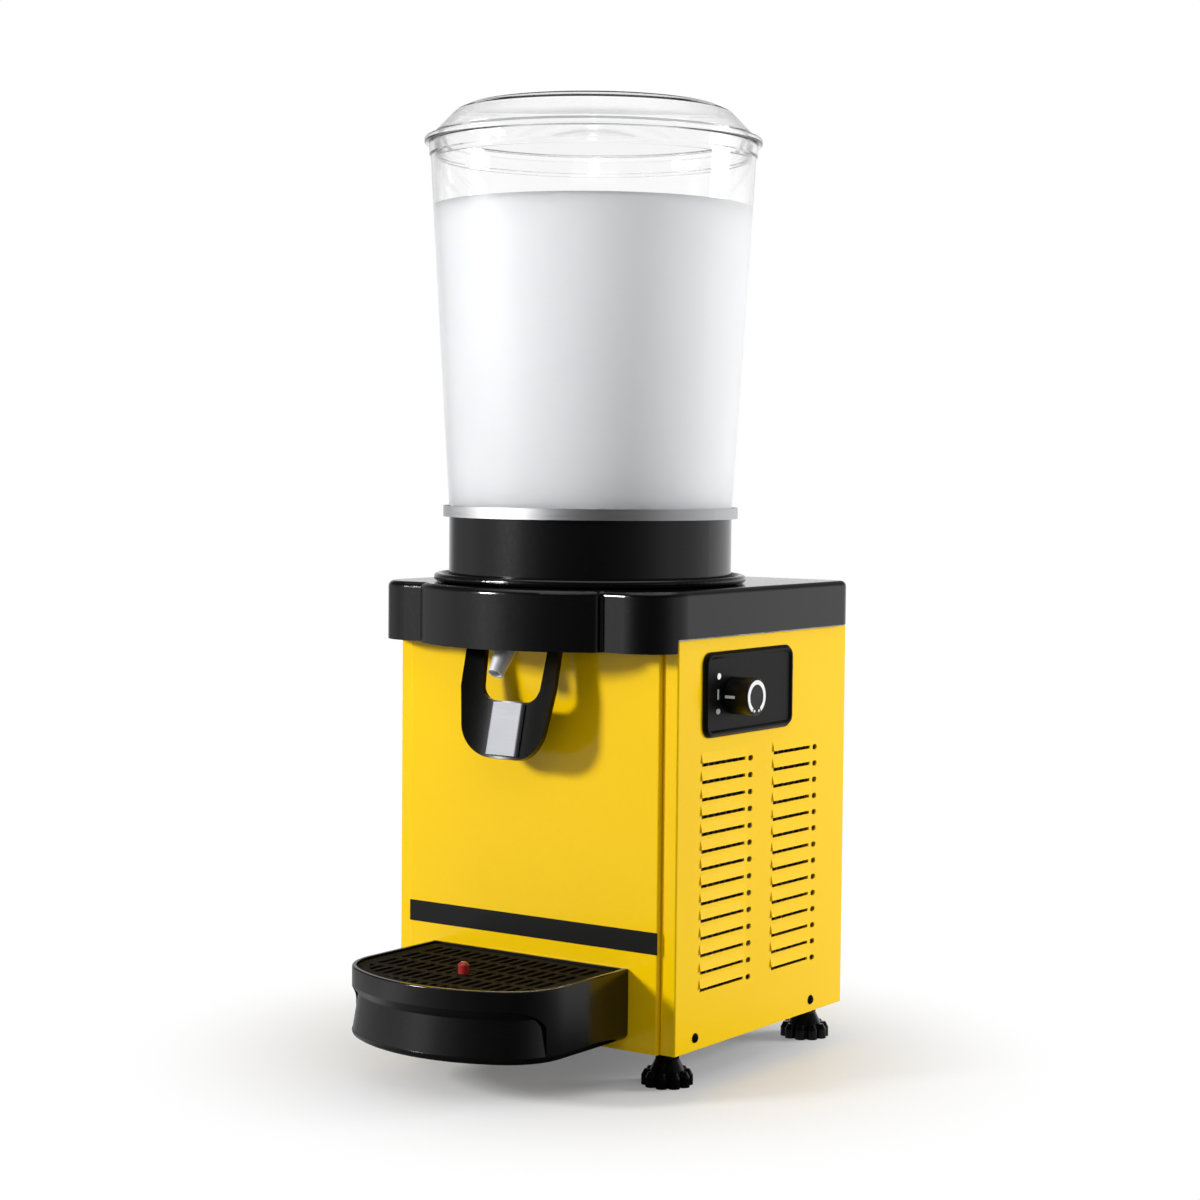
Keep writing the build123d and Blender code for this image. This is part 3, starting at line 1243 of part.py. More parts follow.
def compressor_relay():
    """Starter box on the compressor's front."""
    half = RELAY_WIDTH / 2
    rear = COMPRESSOR_Y - COMPRESSOR_R + RELAY_OVERLAP
    z0 = COMPRESSOR_Z + COMPRESSOR_FOOT + RELAY_RAISE
    z1 = z0 + RELAY_HEIGHT
    box = slab(COMPRESSOR_X - half, COMPRESSOR_X + half, rear - RELAY_DEPTH, rear, z0, z1)
    return box - rod(COMPRESSOR_R + RUN, z0 - 1, z1 + 1, COMPRESSOR_X, COMPRESSOR_Y)


def condenser():
    """Finned condenser core on two end plates that stand on the base."""
    x0, x1 = CONDENSER_X
    z0, z1 = CONDENSER_Z
    half = CONDENSER_HALF
    plan = Pos((x0 + x1) / 2, 0) * Rectangle(x1 - x0, 2 * half)
    count = int((half - FIN_PITCH) / FIN_PITCH)
    for step in range(-count, count + 1):
        gap = Rectangle(FIN_DEPTH, FIN_GAP)
        plan -= Pos(x0 + FIN_DEPTH / 2, step * FIN_PITCH) * gap
        plan -= Pos(x1 - FIN_DEPTH / 2, step * FIN_PITCH) * gap
    core = Pos(0, 0, z0) * extrude(plan, z1 - z0)
    for y in (-half - CONDENSER_END, half):
        core += slab(x0, x1, y, y + CONDENSER_END, FLOOR_Z, z1)
    return core


def fan_shroud():
    """Flat shroud on the condenser with a round opening for the fan."""
    x1 = CONDENSER_X[0]
    z0, z1 = CONDENSER_Z
    plate = slab(x1 - SHROUD, x1, -CONDENSER_HALF, CONDENSER_HALF, z0, z1)
    return plate - rod_x(SHROUD_BORE_R, x1 - SHROUD - 1, x1 + 1, 0, FAN_Z)


def fan_blades():
    """Fan rotor: hub and pitched blades on a short shaft."""
    end = FAN_X + FAN_DEPTH
    blade = Rot(0, 0, FAN_PITCH) * Box(FAN_BLADE, FAN_CHORD, FAN_R)
    single = Pos((FAN_X + end) / 2, 0, FAN_R / 2) * blade
    rotor = rod_x(FAN_HUB_R, FAN_X, end, 0, 0)
    rotor += [Rot(360 / FAN_BLADES * step, 0, 0) * single for step in range(FAN_BLADES)]
    rotor = rotor & rod_x(FAN_R, FAN_X, end, 0, 0)
    rotor += rod_x(FAN_SHAFT_R, FAN_MOTOR_X - FAN_MOTOR_LENGTH / 2, end, 0, 0)
    return Pos(0, 0, FAN_Z) * rotor


def fan_motor():
    start = FAN_MOTOR_X - FAN_MOTOR_LENGTH
    body = rod_x(FAN_MOTOR_R, start, FAN_MOTOR_X, 0, FAN_Z)
    bore = FAN_MOTOR_X - FAN_MOTOR_LENGTH / 2 - SEAT
    return body - rod_x(FAN_SHAFT_R + RUN, bore, FAN_MOTOR_X + 1, 0, FAN_Z)


def fan_bracket():
    """Folded strip from the base plate up behind the fan motor."""
    x1 = FAN_MOTOR_X - FAN_MOTOR_LENGTH
    x0 = x1 - BRACKET_SHEET
    half = BRACKET_HALF
    strip = slab(x0, x1, -half, half, FLOOR_Z, FAN_Z + FAN_MOTOR_R)
    return strip + slab(x0, x1 + BRACKET_FOOT, -half, half, FLOOR_Z, FLOOR_Z + BRACKET_SHEET)


def filter_drier():
    """Small copper drier with tapered ends."""
    z0, z1 = DRIER_Z
    return turned(
        [(0, z0), (DRIER_NECK, z0), (DRIER_R, z0 + DRIER_TAPER), (DRIER_R, z1 - DRIER_TAPER),
         (DRIER_NECK, z1), (0, z1)],
        DRIER_X, DRIER_Y,
    )


def jacket_place(x):
    """Place under the jacket's wall at a given X, on the rear side."""
    middle = CUP_R + SEAT + SUCTION_R
    return x, BOWL_Y + sqrt(middle ** 2 - x ** 2)


def suction_top():
    return jacket_place(0.0)


def capillary_top():
    return jacket_place(CAPILLARY_OFFSET)


def discharge_route():
    """Compressor to the condenser's upper joint."""
    start_x = COMPRESSOR_X + COMPRESSOR_R - BAND_STEP + SEAT
    riser_x = start_x + DISCHARGE_REACH
    rear_y = BACK_Y - TUBE_REAR
    z = COMPRESSOR_Z + DISCHARGE_RISE
    top = CONDENSER_Z[1] - VAPOUR_DROP
    end_x = (CONDENSER_X[0] + CONDENSER_X[1]) / 2
    return [
        (start_x, COMPRESSOR_Y, z), (riser_x, COMPRESSOR_Y, z), (riser_x, rear_y, z),
        (riser_x, rear_y, top), (end_x, rear_y, top), (end_x, CONDENSER_HALF + CONDENSER_END, top),
    ]


def liquid_route():
    """Condenser's lower joint to the drier."""
    x = (CONDENSER_X[0] + CONDENSER_X[1]) / 2
    z = CONDENSER_Z[0] + LIQUID_RISE
    return [
        (x, CONDENSER_HALF + CONDENSER_END, z), (x, DRIER_Y, z), (DRIER_X, DRIER_Y, z),
        (DRIER_X, DRIER_Y, DRIER_Z[0]),
    ]


def capillary_route():
    """Drier to the cold jacket."""
    x, y = capillary_top()
    z = DECK_Z - CAPILLARY_DROP
    return [
        (DRIER_X, DRIER_Y, DRIER_Z[1]), (DRIER_X, DRIER_Y, z), (DRIER_X, y, z), (x, y, z),
        (x, y, JACKET_Z),
    ]


def suction_route():
    """Cold jacket back to the compressor."""
    x, y = suction_top()
    z = DECK_Z - SUCTION_DROP
    end = COMPRESSOR_Z + COMPRESSOR_FOOT + COMPRESSOR_HEIGHT
    return [(x, y, JACKET_Z), (x, y, z), (COMPRESSOR_X, y, z), (COMPRESSOR_X, y, end)]


def refrigerant_tubes():
    """Discharge, liquid, capillary and suction tubes of the cooling circuit."""
    return Part() + [
        pipe(discharge_route(), TUBE_R, BEND_R), pipe(liquid_route(), TUBE_R, BEND_R),
        pipe(capillary_route(), CAPILLARY_R, BEND_R), pipe(suction_route(), SUCTION_R, BEND_R),
    ]


def thermostat():
    """Thermostat box under the deck."""
    half_x = THERMOSTAT_WIDTH / 2
    half_y = THERMOSTAT_DEPTH / 2
    z0 = DECK_Z - THERMOSTAT_HEIGHT
    return slab(
        WIRING_X - half_x, WIRING_X + half_x, WIRING_Y - half_y, WIRING_Y + half_y, z0, DECK_Z
    )


def terminal_block():
    """Wiring terminals on the base plate."""
    half_x = TERMINAL_WIDTH / 2
    half_y = TERMINAL_DEPTH / 2
    z1 = FLOOR_Z + TERMINAL_HEIGHT
    return slab(
        WIRING_X - half_x, WIRING_X + half_x, WIRING_Y - half_y, WIRING_Y + half_y, FLOOR_Z, z1
    )


def inlet_block(width, height, y0, y1):
    """A block centred on the inlet."""
    return slab(
        INLET_X - width / 2, INLET_X + width / 2, y0, y1, INLET_Z - height / 2, INLET_Z + height / 2
    )


def power_inlet():
    """Appliance inlet in the back panel with its three blades."""
    wall = BACK_Y - SHEET
    outer = wall + INLET_FLANGE
    lip = 2 * INLET_LIP
    floor = outer - SOCKET_DEPTH
    inlet = inlet_block(INLET_WIDTH + lip, INLET_HEIGHT + lip, wall, outer)
    inlet += inlet_block(INLET_WIDTH, INLET_HEIGHT, wall - INLET_DEPTH, wall)
    inlet -= inlet_block(SOCKET_WIDTH, SOCKET_HEIGHT, floor, outer + 1)
    blade = Box(BLADE_WIDTH, BLADE_LENGTH + 1, BLADE_HEIGHT)
    for dx, dz in ((-1, -1), (0, 1), (1, -1)):
        x = INLET_X + dx * BLADE_SPREAD
        inlet += Pos(x, floor + (BLADE_LENGTH - 1) / 2, INLET_Z + dz * BLADE_STEP) * blade
    return inlet


def pieces():
    """Every node's name and its solid."""
    model = {
        "base_plate": base_plate(),
        "right_side_panel": right_side_panel(),
        "left_side_panel": mirrored(side_panel()),
        "front_panel": front_panel(),
        "front_strip": front_strip(),
        "back_panel": back_panel(),
        "top_deck": top_deck(),
        "side_screws": side_screws(),
        "back_screws": back_screws(),
        "foot_nuts": foot_nuts(),
        "top_cover": top_cover(),
        "cover_skirt": cover_skirt(),
        "gutter_ring": gutter_ring(),
        "collar": collar(),
        "cooling_cup": cooling_cup(),
        "evaporator_jacket": evaporator_jacket(),
        "cup_insulation": cup_insulation(),
        "bowl_gasket": bowl_gasket(),
        "bowl": bowl(),
        "lid": lid(),
        "drive_shaft": drive_shaft(),
        "shaft_bush": shaft_bush(),
        "stirrer": stirrer(),
        "gear_motor": gear_motor(),
        "tap_body": tap_body(),
        "tap_gasket": tap_gasket(),
        "nozzle": nozzle(),
        "valve_plunger": valve_plunger(),
        "valve_spring": valve_spring(),
        "lever": lever(),
        "lever_plate": lever_plate(),
        "lever_crossbar": lever_crossbar(),
        "tap_bracket": tap_bracket(),
        "lever_pins": lever_pins(),
        "drip_tray": drip_tray(),
        "tray_tongues": tray_tongues(),
        "drip_grid": drip_grid(),
        "float_gauge": float_gauge(),
        "control_panel": control_panel(),
        "mode_knob": mode_knob(),
        "switch_spindle": switch_spindle(),
        "rotary_switch": rotary_switch(),
        "compressor": compressor(),
        "compressor_mounts": compressor_mounts(),
        "compressor_relay": compressor_relay(),
        "condenser": condenser(),
        "fan_shroud": fan_shroud(),
        "fan_blades": fan_blades(),
        "fan_motor": fan_motor(),
        "fan_bracket": fan_bracket(),
        "filter_drier": filter_drier(),
        "refrigerant_tubes": refrigerant_tubes(),
        "thermostat": thermostat(),
        "terminal_block": terminal_block(),
        "power_inlet": power_inlet(),
    }
    for x, y in corners():
        place = ("front" if y < 0 else "rear") + ("_left" if x < 0 else "_right")
        model[f"{place}_foot"] = foot(x, y)
    return model


os.makedirs("parts", exist_ok=True)
for name, solid in pieces().items():
    export_step(solid, f"parts/{name}.step")
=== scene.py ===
import json
from math import cos, pi, radians, sin, tan

import bmesh
import bpy
from mathutils import Matrix, Vector


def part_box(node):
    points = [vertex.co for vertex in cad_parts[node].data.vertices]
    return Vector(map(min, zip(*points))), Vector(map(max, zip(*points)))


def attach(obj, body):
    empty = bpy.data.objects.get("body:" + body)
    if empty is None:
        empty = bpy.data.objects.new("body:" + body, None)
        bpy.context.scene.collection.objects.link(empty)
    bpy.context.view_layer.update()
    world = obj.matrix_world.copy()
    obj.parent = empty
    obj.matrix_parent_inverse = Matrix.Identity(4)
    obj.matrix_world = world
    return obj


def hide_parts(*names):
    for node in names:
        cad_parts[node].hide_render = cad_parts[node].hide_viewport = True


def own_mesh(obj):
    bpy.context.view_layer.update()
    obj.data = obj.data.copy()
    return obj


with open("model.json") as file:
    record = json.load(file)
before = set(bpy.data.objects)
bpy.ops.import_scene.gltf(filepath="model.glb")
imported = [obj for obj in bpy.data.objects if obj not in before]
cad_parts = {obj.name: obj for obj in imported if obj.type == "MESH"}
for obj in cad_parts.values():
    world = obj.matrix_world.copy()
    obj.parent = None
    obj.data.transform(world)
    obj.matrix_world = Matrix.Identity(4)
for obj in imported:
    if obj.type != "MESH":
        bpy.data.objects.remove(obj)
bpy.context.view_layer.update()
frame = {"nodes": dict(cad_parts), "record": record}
NODES = frame["nodes"]
MM = 0.001


# Small helpers

def placed(name, data):
    """A new object in the scene that shows some data."""
    thing = bpy.data.objects.new(name, data)
    bpy.context.scene.collection.objects.link(thing)
    return thing


def linear(code):
    """An sRGB hex colour as linear RGBA."""
    parts = [int(code[i:i + 2], 16) / 255 for i in (1, 3, 5)]
    return [c / 12.92 if c <= 0.04045 else ((c + 0.055) / 1.055) ** 2.4 for c in parts] + [1.0]


def add(tree, kind, sets=None, links=None, **settings):
    """Adds a node with its settings, its socket values and the links into it."""
    node = tree.nodes.new(kind)
    for name, value in settings.items():
        setattr(node, name, value)
    for socket, value in (sets or {}).items():
        node.inputs[socket].default_value = value
    for socket, source in (links or {}).items():
        tree.links.new(source, node.inputs[socket])
    return node


def per(millimetres):
    """Texture scale that repeats about once in so many millimetres."""
    return 1 / (millimetres * MM)


def new_finish(name):
    """An empty node material with its place coordinates."""
    finish = bpy.data.materials.new(name)
    finish.use_nodes = True
    tree = finish.node_tree
    tree.nodes.clear()
    place = add(tree, "ShaderNodeTexCoord").outputs["Object"]
    return finish, tree, place


def close_finish(tree, shader):
    """The last node of a material."""
    add(tree, "ShaderNodeOutputMaterial", links={"Surface": shader.outputs[0]})


# Camera

CAMERA_PLACE = (1.0840, -1.5707, 0.4437)
CAMERA_YAW = radians(35.23)
CAMERA_PITCH = radians(3.17)
CAMERA_ROLL = radians(-0.52)
SENSOR_WIDTH = 36.0
LENS = 75.219


def stand_camera():
    """Camera at the photograph's viewing angle: 35 degrees round to the right, a little above."""
    forward = Vector((-sin(CAMERA_YAW) * cos(CAMERA_PITCH), cos(CAMERA_YAW) * cos(CAMERA_PITCH),
                      -sin(CAMERA_PITCH)))
    right = forward.cross(Vector((0, 0, 1))).normalized()
    down = forward.cross(right)
    across = right * cos(CAMERA_ROLL) + down * sin(CAMERA_ROLL)
    lower = down * cos(CAMERA_ROLL) - right * sin(CAMERA_ROLL)
    data = bpy.data.cameras.new("studio_camera")
    data.sensor_width = SENSOR_WIDTH
    data.lens = LENS
    camera = placed("studio_camera", data)
    turn = Matrix((across, -lower, -forward)).transposed().to_4x4()
    camera.matrix_world = Matrix.Translation(CAMERA_PLACE) @ turn
    bpy.context.scene.camera = camera


stand_camera()


# Materials

def powder_coated_steel():
    """Powder-coated sheet steel: an even strong yellow with a faint orange-peel skin."""
    finish, tree, place = new_finish("powder_coated_steel_yellow")
    drift = add(tree, "ShaderNodeTexNoise", {"Scale": per(140), "Detail": 2.0}, {"Vector": place})
    tint = add(tree, "ShaderNodeMix", {6: linear("#FBCA03"), 7: linear("#FDD108")},
               {0: drift.outputs["Fac"]}, data_type="RGBA")
    # Real orange peel is about 1.5 mm across, drawn at 2.4 mm so that it shows
    peel = add(tree, "ShaderNodeTexNoise", {"Scale": per(2.4), "Detail": 1.0}, {"Vector": place})
    haze = add(tree, "ShaderNodeMapRange", {"To Min": 0.12, "To Max": 0.17},
               {"Value": drift.outputs["Fac"]})
    skin = add(tree, "ShaderNodeBump", {"Strength": 0.25, "Distance": 0.0001},
               {"Height": peel.outputs["Fac"]})
    shader = add(tree, "ShaderNodeBsdfPrincipled", {"IOR": 1.36}, {
        "Base Color": tint.outputs[2], "Roughness": haze.outputs[0], "Normal": skin.outputs[0]})
    close_finish(tree, shader)
    return finish


def moulded_abs_black():
    """ABS from a polished mould: deep black, sharp reflections, slight sink waves and dust."""
    finish, tree, place = new_finish("moulded_abs_gloss_black")
    dust = add(tree, "ShaderNodeTexNoise", {"Scale": per(3.0), "Detail": 5.0, "Roughness": 0.7},
               {"Vector": place})
    gloss = add(tree, "ShaderNodeMapRange",
                {"From Min": 0.35, "From Max": 0.8, "To Min": 0.09, "To Max": 0.22},
                {"Value": dust.outputs["Fac"]})
    tint = add(tree, "ShaderNodeMix", {6: linear("#060607"), 7: linear("#0C0C0E")},
               {0: dust.outputs["Fac"]}, data_type="RGBA")
    sink = add(tree, "ShaderNodeTexNoise", {"Scale": per(45), "Detail": 1.0}, {"Vector": place})
    wave = add(tree, "ShaderNodeBump", {"Strength": 0.12, "Distance": 0.0012},
               {"Height": sink.outputs["Fac"]})
    shader = add(tree, "ShaderNodeBsdfPrincipled", {"IOR": 1.53}, {
        "Base Color": tint.outputs[2], "Roughness": gloss.outputs[0], "Normal": wave.outputs[0]})
    close_finish(tree, shader)
    return finish


def grained_pp_black():
    """Polypropylene from a spark-eroded mould: a dull black with a fine even grain."""
    finish, tree, place = new_finish("grained_polypropylene_black")
    # Spark grain is about 0.3 mm, drawn at 0.9 mm so that it shows
    grain = add(tree, "ShaderNodeTexNoise", {"Scale": per(0.9), "Detail": 2.0}, {"Vector": place})
    tint = add(tree, "ShaderNodeMix", {6: linear("#070708"), 7: linear("#101011")},
               {0: grain.outputs["Fac"]}, data_type="RGBA")
    haze = add(tree, "ShaderNodeMapRange", {"To Min": 0.34, "To Max": 0.50},
               {"Value": grain.outputs["Fac"]})
    skin = add(tree, "ShaderNodeBump", {"Strength": 0.3, "Distance": 0.0001},
               {"Height": grain.outputs["Fac"]})
    shader = add(tree, "ShaderNodeBsdfPrincipled", {"IOR": 1.49}, {
        "Base Color": tint.outputs[2], "Roughness": haze.outputs[0], "Normal": skin.outputs[0]})
    close_finish(tree, shader)
    return finish


def brushed_stainless(name, low, high, rough, metal=1.0):
    """Brushed stainless steel: bright grey with fine lines along the brushing."""
    finish, tree, place = new_finish(name)
    # Brush lines are about 0.1 mm wide, drawn at 0.5 mm so that they show
    lay = add(tree, "ShaderNodeMapping", {"Scale": (per(20), per(20), per(0.5))}, {"Vector": place})
    lines = add(tree, "ShaderNodeTexNoise", {"Scale": 1.0, "Detail": 3.0},
                {"Vector": lay.outputs[0]})
    tint = add(tree, "ShaderNodeMix", {6: linear(low), 7: linear(high)},
               {0: lines.outputs["Fac"]}, data_type="RGBA")
    haze = add(tree, "ShaderNodeMapRange", {"To Min": rough - 0.08, "To Max": rough + 0.08},
               {"Value": lines.outputs["Fac"]})
    skin = add(tree, "ShaderNodeBump", {"Strength": 0.12, "Distance": 0.0001},
               {"Height": lines.outputs["Fac"]})
    shader = add(tree, "ShaderNodeBsdfPrincipled", {"Metallic": metal, "Anisotropic": 0.35}, {
        "Base Color": tint.outputs[2], "Roughness": haze.outputs[0], "Normal": skin.outputs[0]})
    close_finish(tree, shader)
    return finish


def satin_chrome():
    """Satin chrome plate: bright and soft, with faint handling smudges."""
    finish, tree, place = new_finish("satin_chrome_plate")
    smudge = add(tree, "ShaderNodeTexNoise", {"Scale": per(9), "Detail": 3.0}, {"Vector": place})
    haze = add(tree, "ShaderNodeMapRange", {"To Min": 0.44, "To Max": 0.56},
               {"Value": smudge.outputs["Fac"]})
    tint = add(tree, "ShaderNodeMix", {6: linear("#E2E3E5"), 7: linear("#F4F4F5")},
               {0: smudge.outputs["Fac"]}, data_type="RGBA")
    shader = add(tree, "ShaderNodeBsdfPrincipled", {"Metallic": 0.6}, {
        "Base Color": tint.outputs[2], "Roughness": haze.outputs[0]})
    close_finish(tree, shader)
    return finish


def clear_polycarbonate():
    """Moulded polycarbonate: water clear with slight flow waves, darker only at its edges."""
    finish, tree, place = new_finish("clear_polycarbonate")
    flow = add(tree, "ShaderNodeTexNoise", {"Scale": per(60), "Detail": 1.0}, {"Vector": place})
    wave = add(tree, "ShaderNodeBump", {"Strength": 0.05, "Distance": 0.001},
               {"Height": flow.outputs["Fac"]})
    haze = add(tree, "ShaderNodeMapRange", {"To Min": 0.0, "To Max": 0.05},
               {"Value": flow.outputs["Fac"]})
    clear = add(tree, "ShaderNodeBsdfPrincipled",
                {"Base Color": linear("#FEFEFE"), "IOR": 1.42, "Transmission Weight": 1.0},
                {"Roughness": haze.outputs[0], "Normal": wave.outputs[0]})
    through = add(tree, "ShaderNodeBsdfTransparent", {"Color": linear("#FBFBFB")})
    # Light goes straight through the walls, so that the drink inside looks as it is written
    ray = add(tree, "ShaderNodeLightPath")
    unbent = add(tree, "ShaderNodeMath", links={
        0: ray.outputs["Is Shadow Ray"], 1: ray.outputs["Is Diffuse Ray"]}, operation="MAXIMUM")
    shader = add(tree, "ShaderNodeMixShader", links={
        0: unbent.outputs[0], 1: clear.outputs[0], 2: through.outputs[0]})
    close_finish(tree, shader)
    return finish


def milky_drink():
    """Iced milky drink: soft white, with a faint cool cloudiness."""
    finish, tree, place = new_finish("milky_drink")
    cloud = add(tree, "ShaderNodeTexNoise", {"Scale": per(70), "Detail": 4.0}, {"Vector": place})
    tint = add(tree, "ShaderNodeMix", {6: linear("#DCDEE1"), 7: linear("#E4E5E7")},
               {0: cloud.outputs["Fac"]}, data_type="RGBA")
    froth = add(tree, "ShaderNodeTexNoise", {"Scale": per(2.5), "Detail": 3.0}, {"Vector": place})
    skin = add(tree, "ShaderNodeBump", {"Strength": 0.1, "Distance": 0.0003},
               {"Height": froth.outputs["Fac"]})
    shader = add(tree, "ShaderNodeBsdfPrincipled",
                 {"IOR": 1.34, "Roughness": 0.35, "Subsurface Weight": 1.0,
                  "Subsurface Radius": (1.0, 0.95, 0.9), "Subsurface Scale": 0.06},
                 {"Base Color": tint.outputs[2], "Normal": skin.outputs[0]})
    close_finish(tree, shader)
    return finish


def plain_moulding(name, low, high, rough, grain_mm, ior):
    """Moulded plastic: one even colour with a slight mottle and a fine skin."""
    finish, tree, place = new_finish(name)
    mottle = add(tree, "ShaderNodeTexNoise", {"Scale": per(18), "Detail": 3.0}, {"Vector": place})
    tint = add(tree, "ShaderNodeMix", {6: linear(low), 7: linear(high)},
               {0: mottle.outputs["Fac"]}, data_type="RGBA")
    grain = add(tree, "ShaderNodeTexNoise", {"Scale": per(grain_mm), "Detail": 2.0},
                {"Vector": place})
    haze = add(tree, "ShaderNodeMapRange", {"To Min": rough - 0.06, "To Max": rough + 0.06},
               {"Value": grain.outputs["Fac"]})
    skin = add(tree, "ShaderNodeBump", {"Strength": 0.15, "Distance": 0.0001},
               {"Height": grain.outputs["Fac"]})
    shader = add(tree, "ShaderNodeBsdfPrincipled", {"IOR": ior}, {
        "Base Color": tint.outputs[2], "Roughness": haze.outputs[0], "Normal": skin.outputs[0]})
    close_finish(tree, shader)
    return finish


def zinc_coated_steel():
    """Hot-dip zinc on sheet steel: dull grey with crystal spangles."""
    finish, tree, place = new_finish("zinc_coated_steel")
    spangle = add(tree, "ShaderNodeTexVoronoi", {"Scale": per(9)}, {"Vector": place})
    shade = add(tree, "ShaderNodeSeparateColor", links={0: spangle.outputs["Color"]})
    tint = add(tree, "ShaderNodeMix", {6: linear("#8E9194"), 7: linear("#C2C5C7")},
               {0: shade.outputs[0]}, data_type="RGBA")
    haze = add(tree, "ShaderNodeMapRange", {"To Min": 0.30, "To Max": 0.50},
               {"Value": shade.outputs[1]})
    shader = add(tree, "ShaderNodeBsdfPrincipled", {"Metallic": 1.0}, {
        "Base Color": tint.outputs[2], "Roughness": haze.outputs[0]})
    close_finish(tree, shader)
    return finish


def drawn_metal(name, low, high, rough, line_mm):
    """Drawn or rolled bare metal: fine lines along its length and slight tarnish."""
    finish, tree, place = new_finish(name)
    lay = add(tree, "ShaderNodeMapping", {"Scale": (per(line_mm), per(line_mm), per(40))},
              {"Vector": place})
    lines = add(tree, "ShaderNodeTexNoise", {"Scale": 1.0, "Detail": 3.0},
                {"Vector": lay.outputs[0]})
    tint = add(tree, "ShaderNodeMix", {6: linear(low), 7: linear(high)},
               {0: lines.outputs["Fac"]}, data_type="RGBA")
    haze = add(tree, "ShaderNodeMapRange", {"To Min": rough - 0.08, "To Max": rough + 0.1},
               {"Value": lines.outputs["Fac"]})
    shader = add(tree, "ShaderNodeBsdfPrincipled", {"Metallic": 1.0}, {
        "Base Color": tint.outputs[2], "Roughness": haze.outputs[0]})
    close_finish(tree, shader)
    return finish


YELLOW = powder_coated_steel()
GLOSS_BLACK = moulded_abs_black()
SATIN_BLACK = grained_pp_black()
STAINLESS = brushed_stainless("brushed_stainless_steel", "#B4B6B9", "#DADBDD", 0.28)
# The cup's drawn lip: bright, with broad soft highlights
BRIGHT_STAINLESS = brushed_stainless("bright_stainless_steel", "#D2D3D5", "#E8E8EA", 0.40)
# The push plate, dulled by use: an even pale grey that still scatters light in the shade
SATIN_STAINLESS = brushed_stainless("satin_stainless_steel", "#888A8E", "#A6A7AB", 0.60, metal=0.6)
CHROME = satin_chrome()
CLEAR = clear_polycarbonate()
DRINK = milky_drink()
ZINC = zinc_coated_steel()
# Red ABS: a strong even red with soft highlights
RED = plain_moulding("moulded_abs_red", "#98211F", "#AE302B", 0.30, 1.2, 1.53)
# White acetal: creamy and slightly waxy
WHITE = plain_moulding("moulded_acetal_white", "#DEDDD6", "#ECEBE6", 0.38, 1.0, 1.48)
# Screen-print ink: a flat dull white
INK = plain_moulding("screen_print_ink_white", "#F4F4F2", "#FCFCFA", 0.55, 0.8, 1.48)
# Seal rubber: dull charcoal
RUBBER = plain_moulding("seal_rubber_black", "#171717", "#232322", 0.62, 1.5, 1.52)
# Rigid foam: cream, open and without shine
FOAM = plain_moulding("insulation_foam_cream", "#CDBE93", "#E2D6B4", 0.85, 2.5, 1.45)
# Stove enamel: smooth black with a soft shine
ENAMEL = plain_moulding("stove_enamel_black", "#0F0F10", "#1B1B1C", 0.30, 2.0, 1.5)
# Deep-grained polypropylene: a black that hardly shines, so its IOR is set low
MATT_BLACK = plain_moulding("moulded_polypropylene_matt_black", "#060505", "#0C0B0A", 0.78, 1.2,
                            1.25)
# Printed film: black with a faint even sheen
FILM = plain_moulding("printed_film_black", "#070606", "#0D0C0B", 0.42, 1.5, 1.30)
# ABS with a satin skin: black with broad faint highlights
SATIN_ABS = plain_moulding("moulded_abs_satin_black", "#070606", "#0D0C0B", 0.24, 1.2, 1.28)
# Black oxide on steel: dark grey with drawn lines
BLACK_OXIDE = drawn_metal("black_oxide_steel", "#1B1B1D", "#2C2C2E", 0.40, 1.0)
# Drawn copper: warm orange brown, slightly tarnished
COPPER = drawn_metal("drawn_copper", "#A8643C", "#D08A5E", 0.28, 0.8)
# Spring wire: mid grey with drawn lines
SPRING_STEEL = drawn_metal("drawn_spring_steel", "#86888B", "#B0B2B4", 0.30, 0.5)
# Rolled aluminium: pale grey with rolling lines
FINS = drawn_metal("rolled_aluminium", "#AEB1B4", "#D3D5D7", 0.34, 0.6)

FINISH_OF_SLOT = {
    "yellow_paint": YELLOW,
    "galvanised_steel": ZINC,
    "black_screw": BLACK_OXIDE,
    "black_gloss": GLOSS_BLACK,
    "black_satin": SATIN_BLACK,
    "stainless_steel": STAINLESS,
    "polished_steel": CHROME,
    "clear_plastic": CLEAR,
    "red_plastic": RED,
    "white_plastic": WHITE,
    "seal_rubber": RUBBER,
    "insulation_foam": FOAM,
    "copper": COPPER,
    "aluminium_fin": FINS,
    "black_enamel": ENAMEL,
}

# Pieces whose finish differs a little from the rest of their slot
FEET = ("front_left_foot", "front_right_foot", "rear_left_foot", "rear_right_foot")
FINISH_OF_NODE = {
    "drip_grid": MATT_BLACK,
    "front_strip": FILM,
    "control_panel": FILM,
    "lever": SATIN_ABS,
    "lever_plate": SATIN_STAINLESS,
    "cooling_cup": BRIGHT_STAINLESS,
    **dict.fromkeys(FEET, GLOSS_BLACK),
}

for entry in frame["record"]["subparts"]:
    mesh = NODES[entry["node"]].data
    mesh.materials.clear()
    slot_finish = FINISH_OF_SLOT[entry["material_slot"]]
    mesh.materials.append(FINISH_OF_NODE.get(entry["node"], slot_finish))


# Making pieces

SAME_POINT = 1e-7  # metres
SLIVER = 1e-6


def piece_from(bm, name, finish, sharp=38):
    """A finished mesh object from a bmesh, smooth except at sharp edges."""
    bmesh.ops.remove_doubles(bm, verts=bm.verts, dist=SAME_POINT)
    bmesh.ops.recalc_face_normals(bm, faces=bm.faces)
    mesh = bpy.data.meshes.new(name)
    bm.to_mesh(mesh)
    bm.free()
    mesh.polygons.foreach_set("use_smooth", [True] * len(mesh.polygons))
    mesh.set_sharp_from_angle(angle=radians(sharp))
    mesh.materials.append(finish)
    return placed(name, mesh)


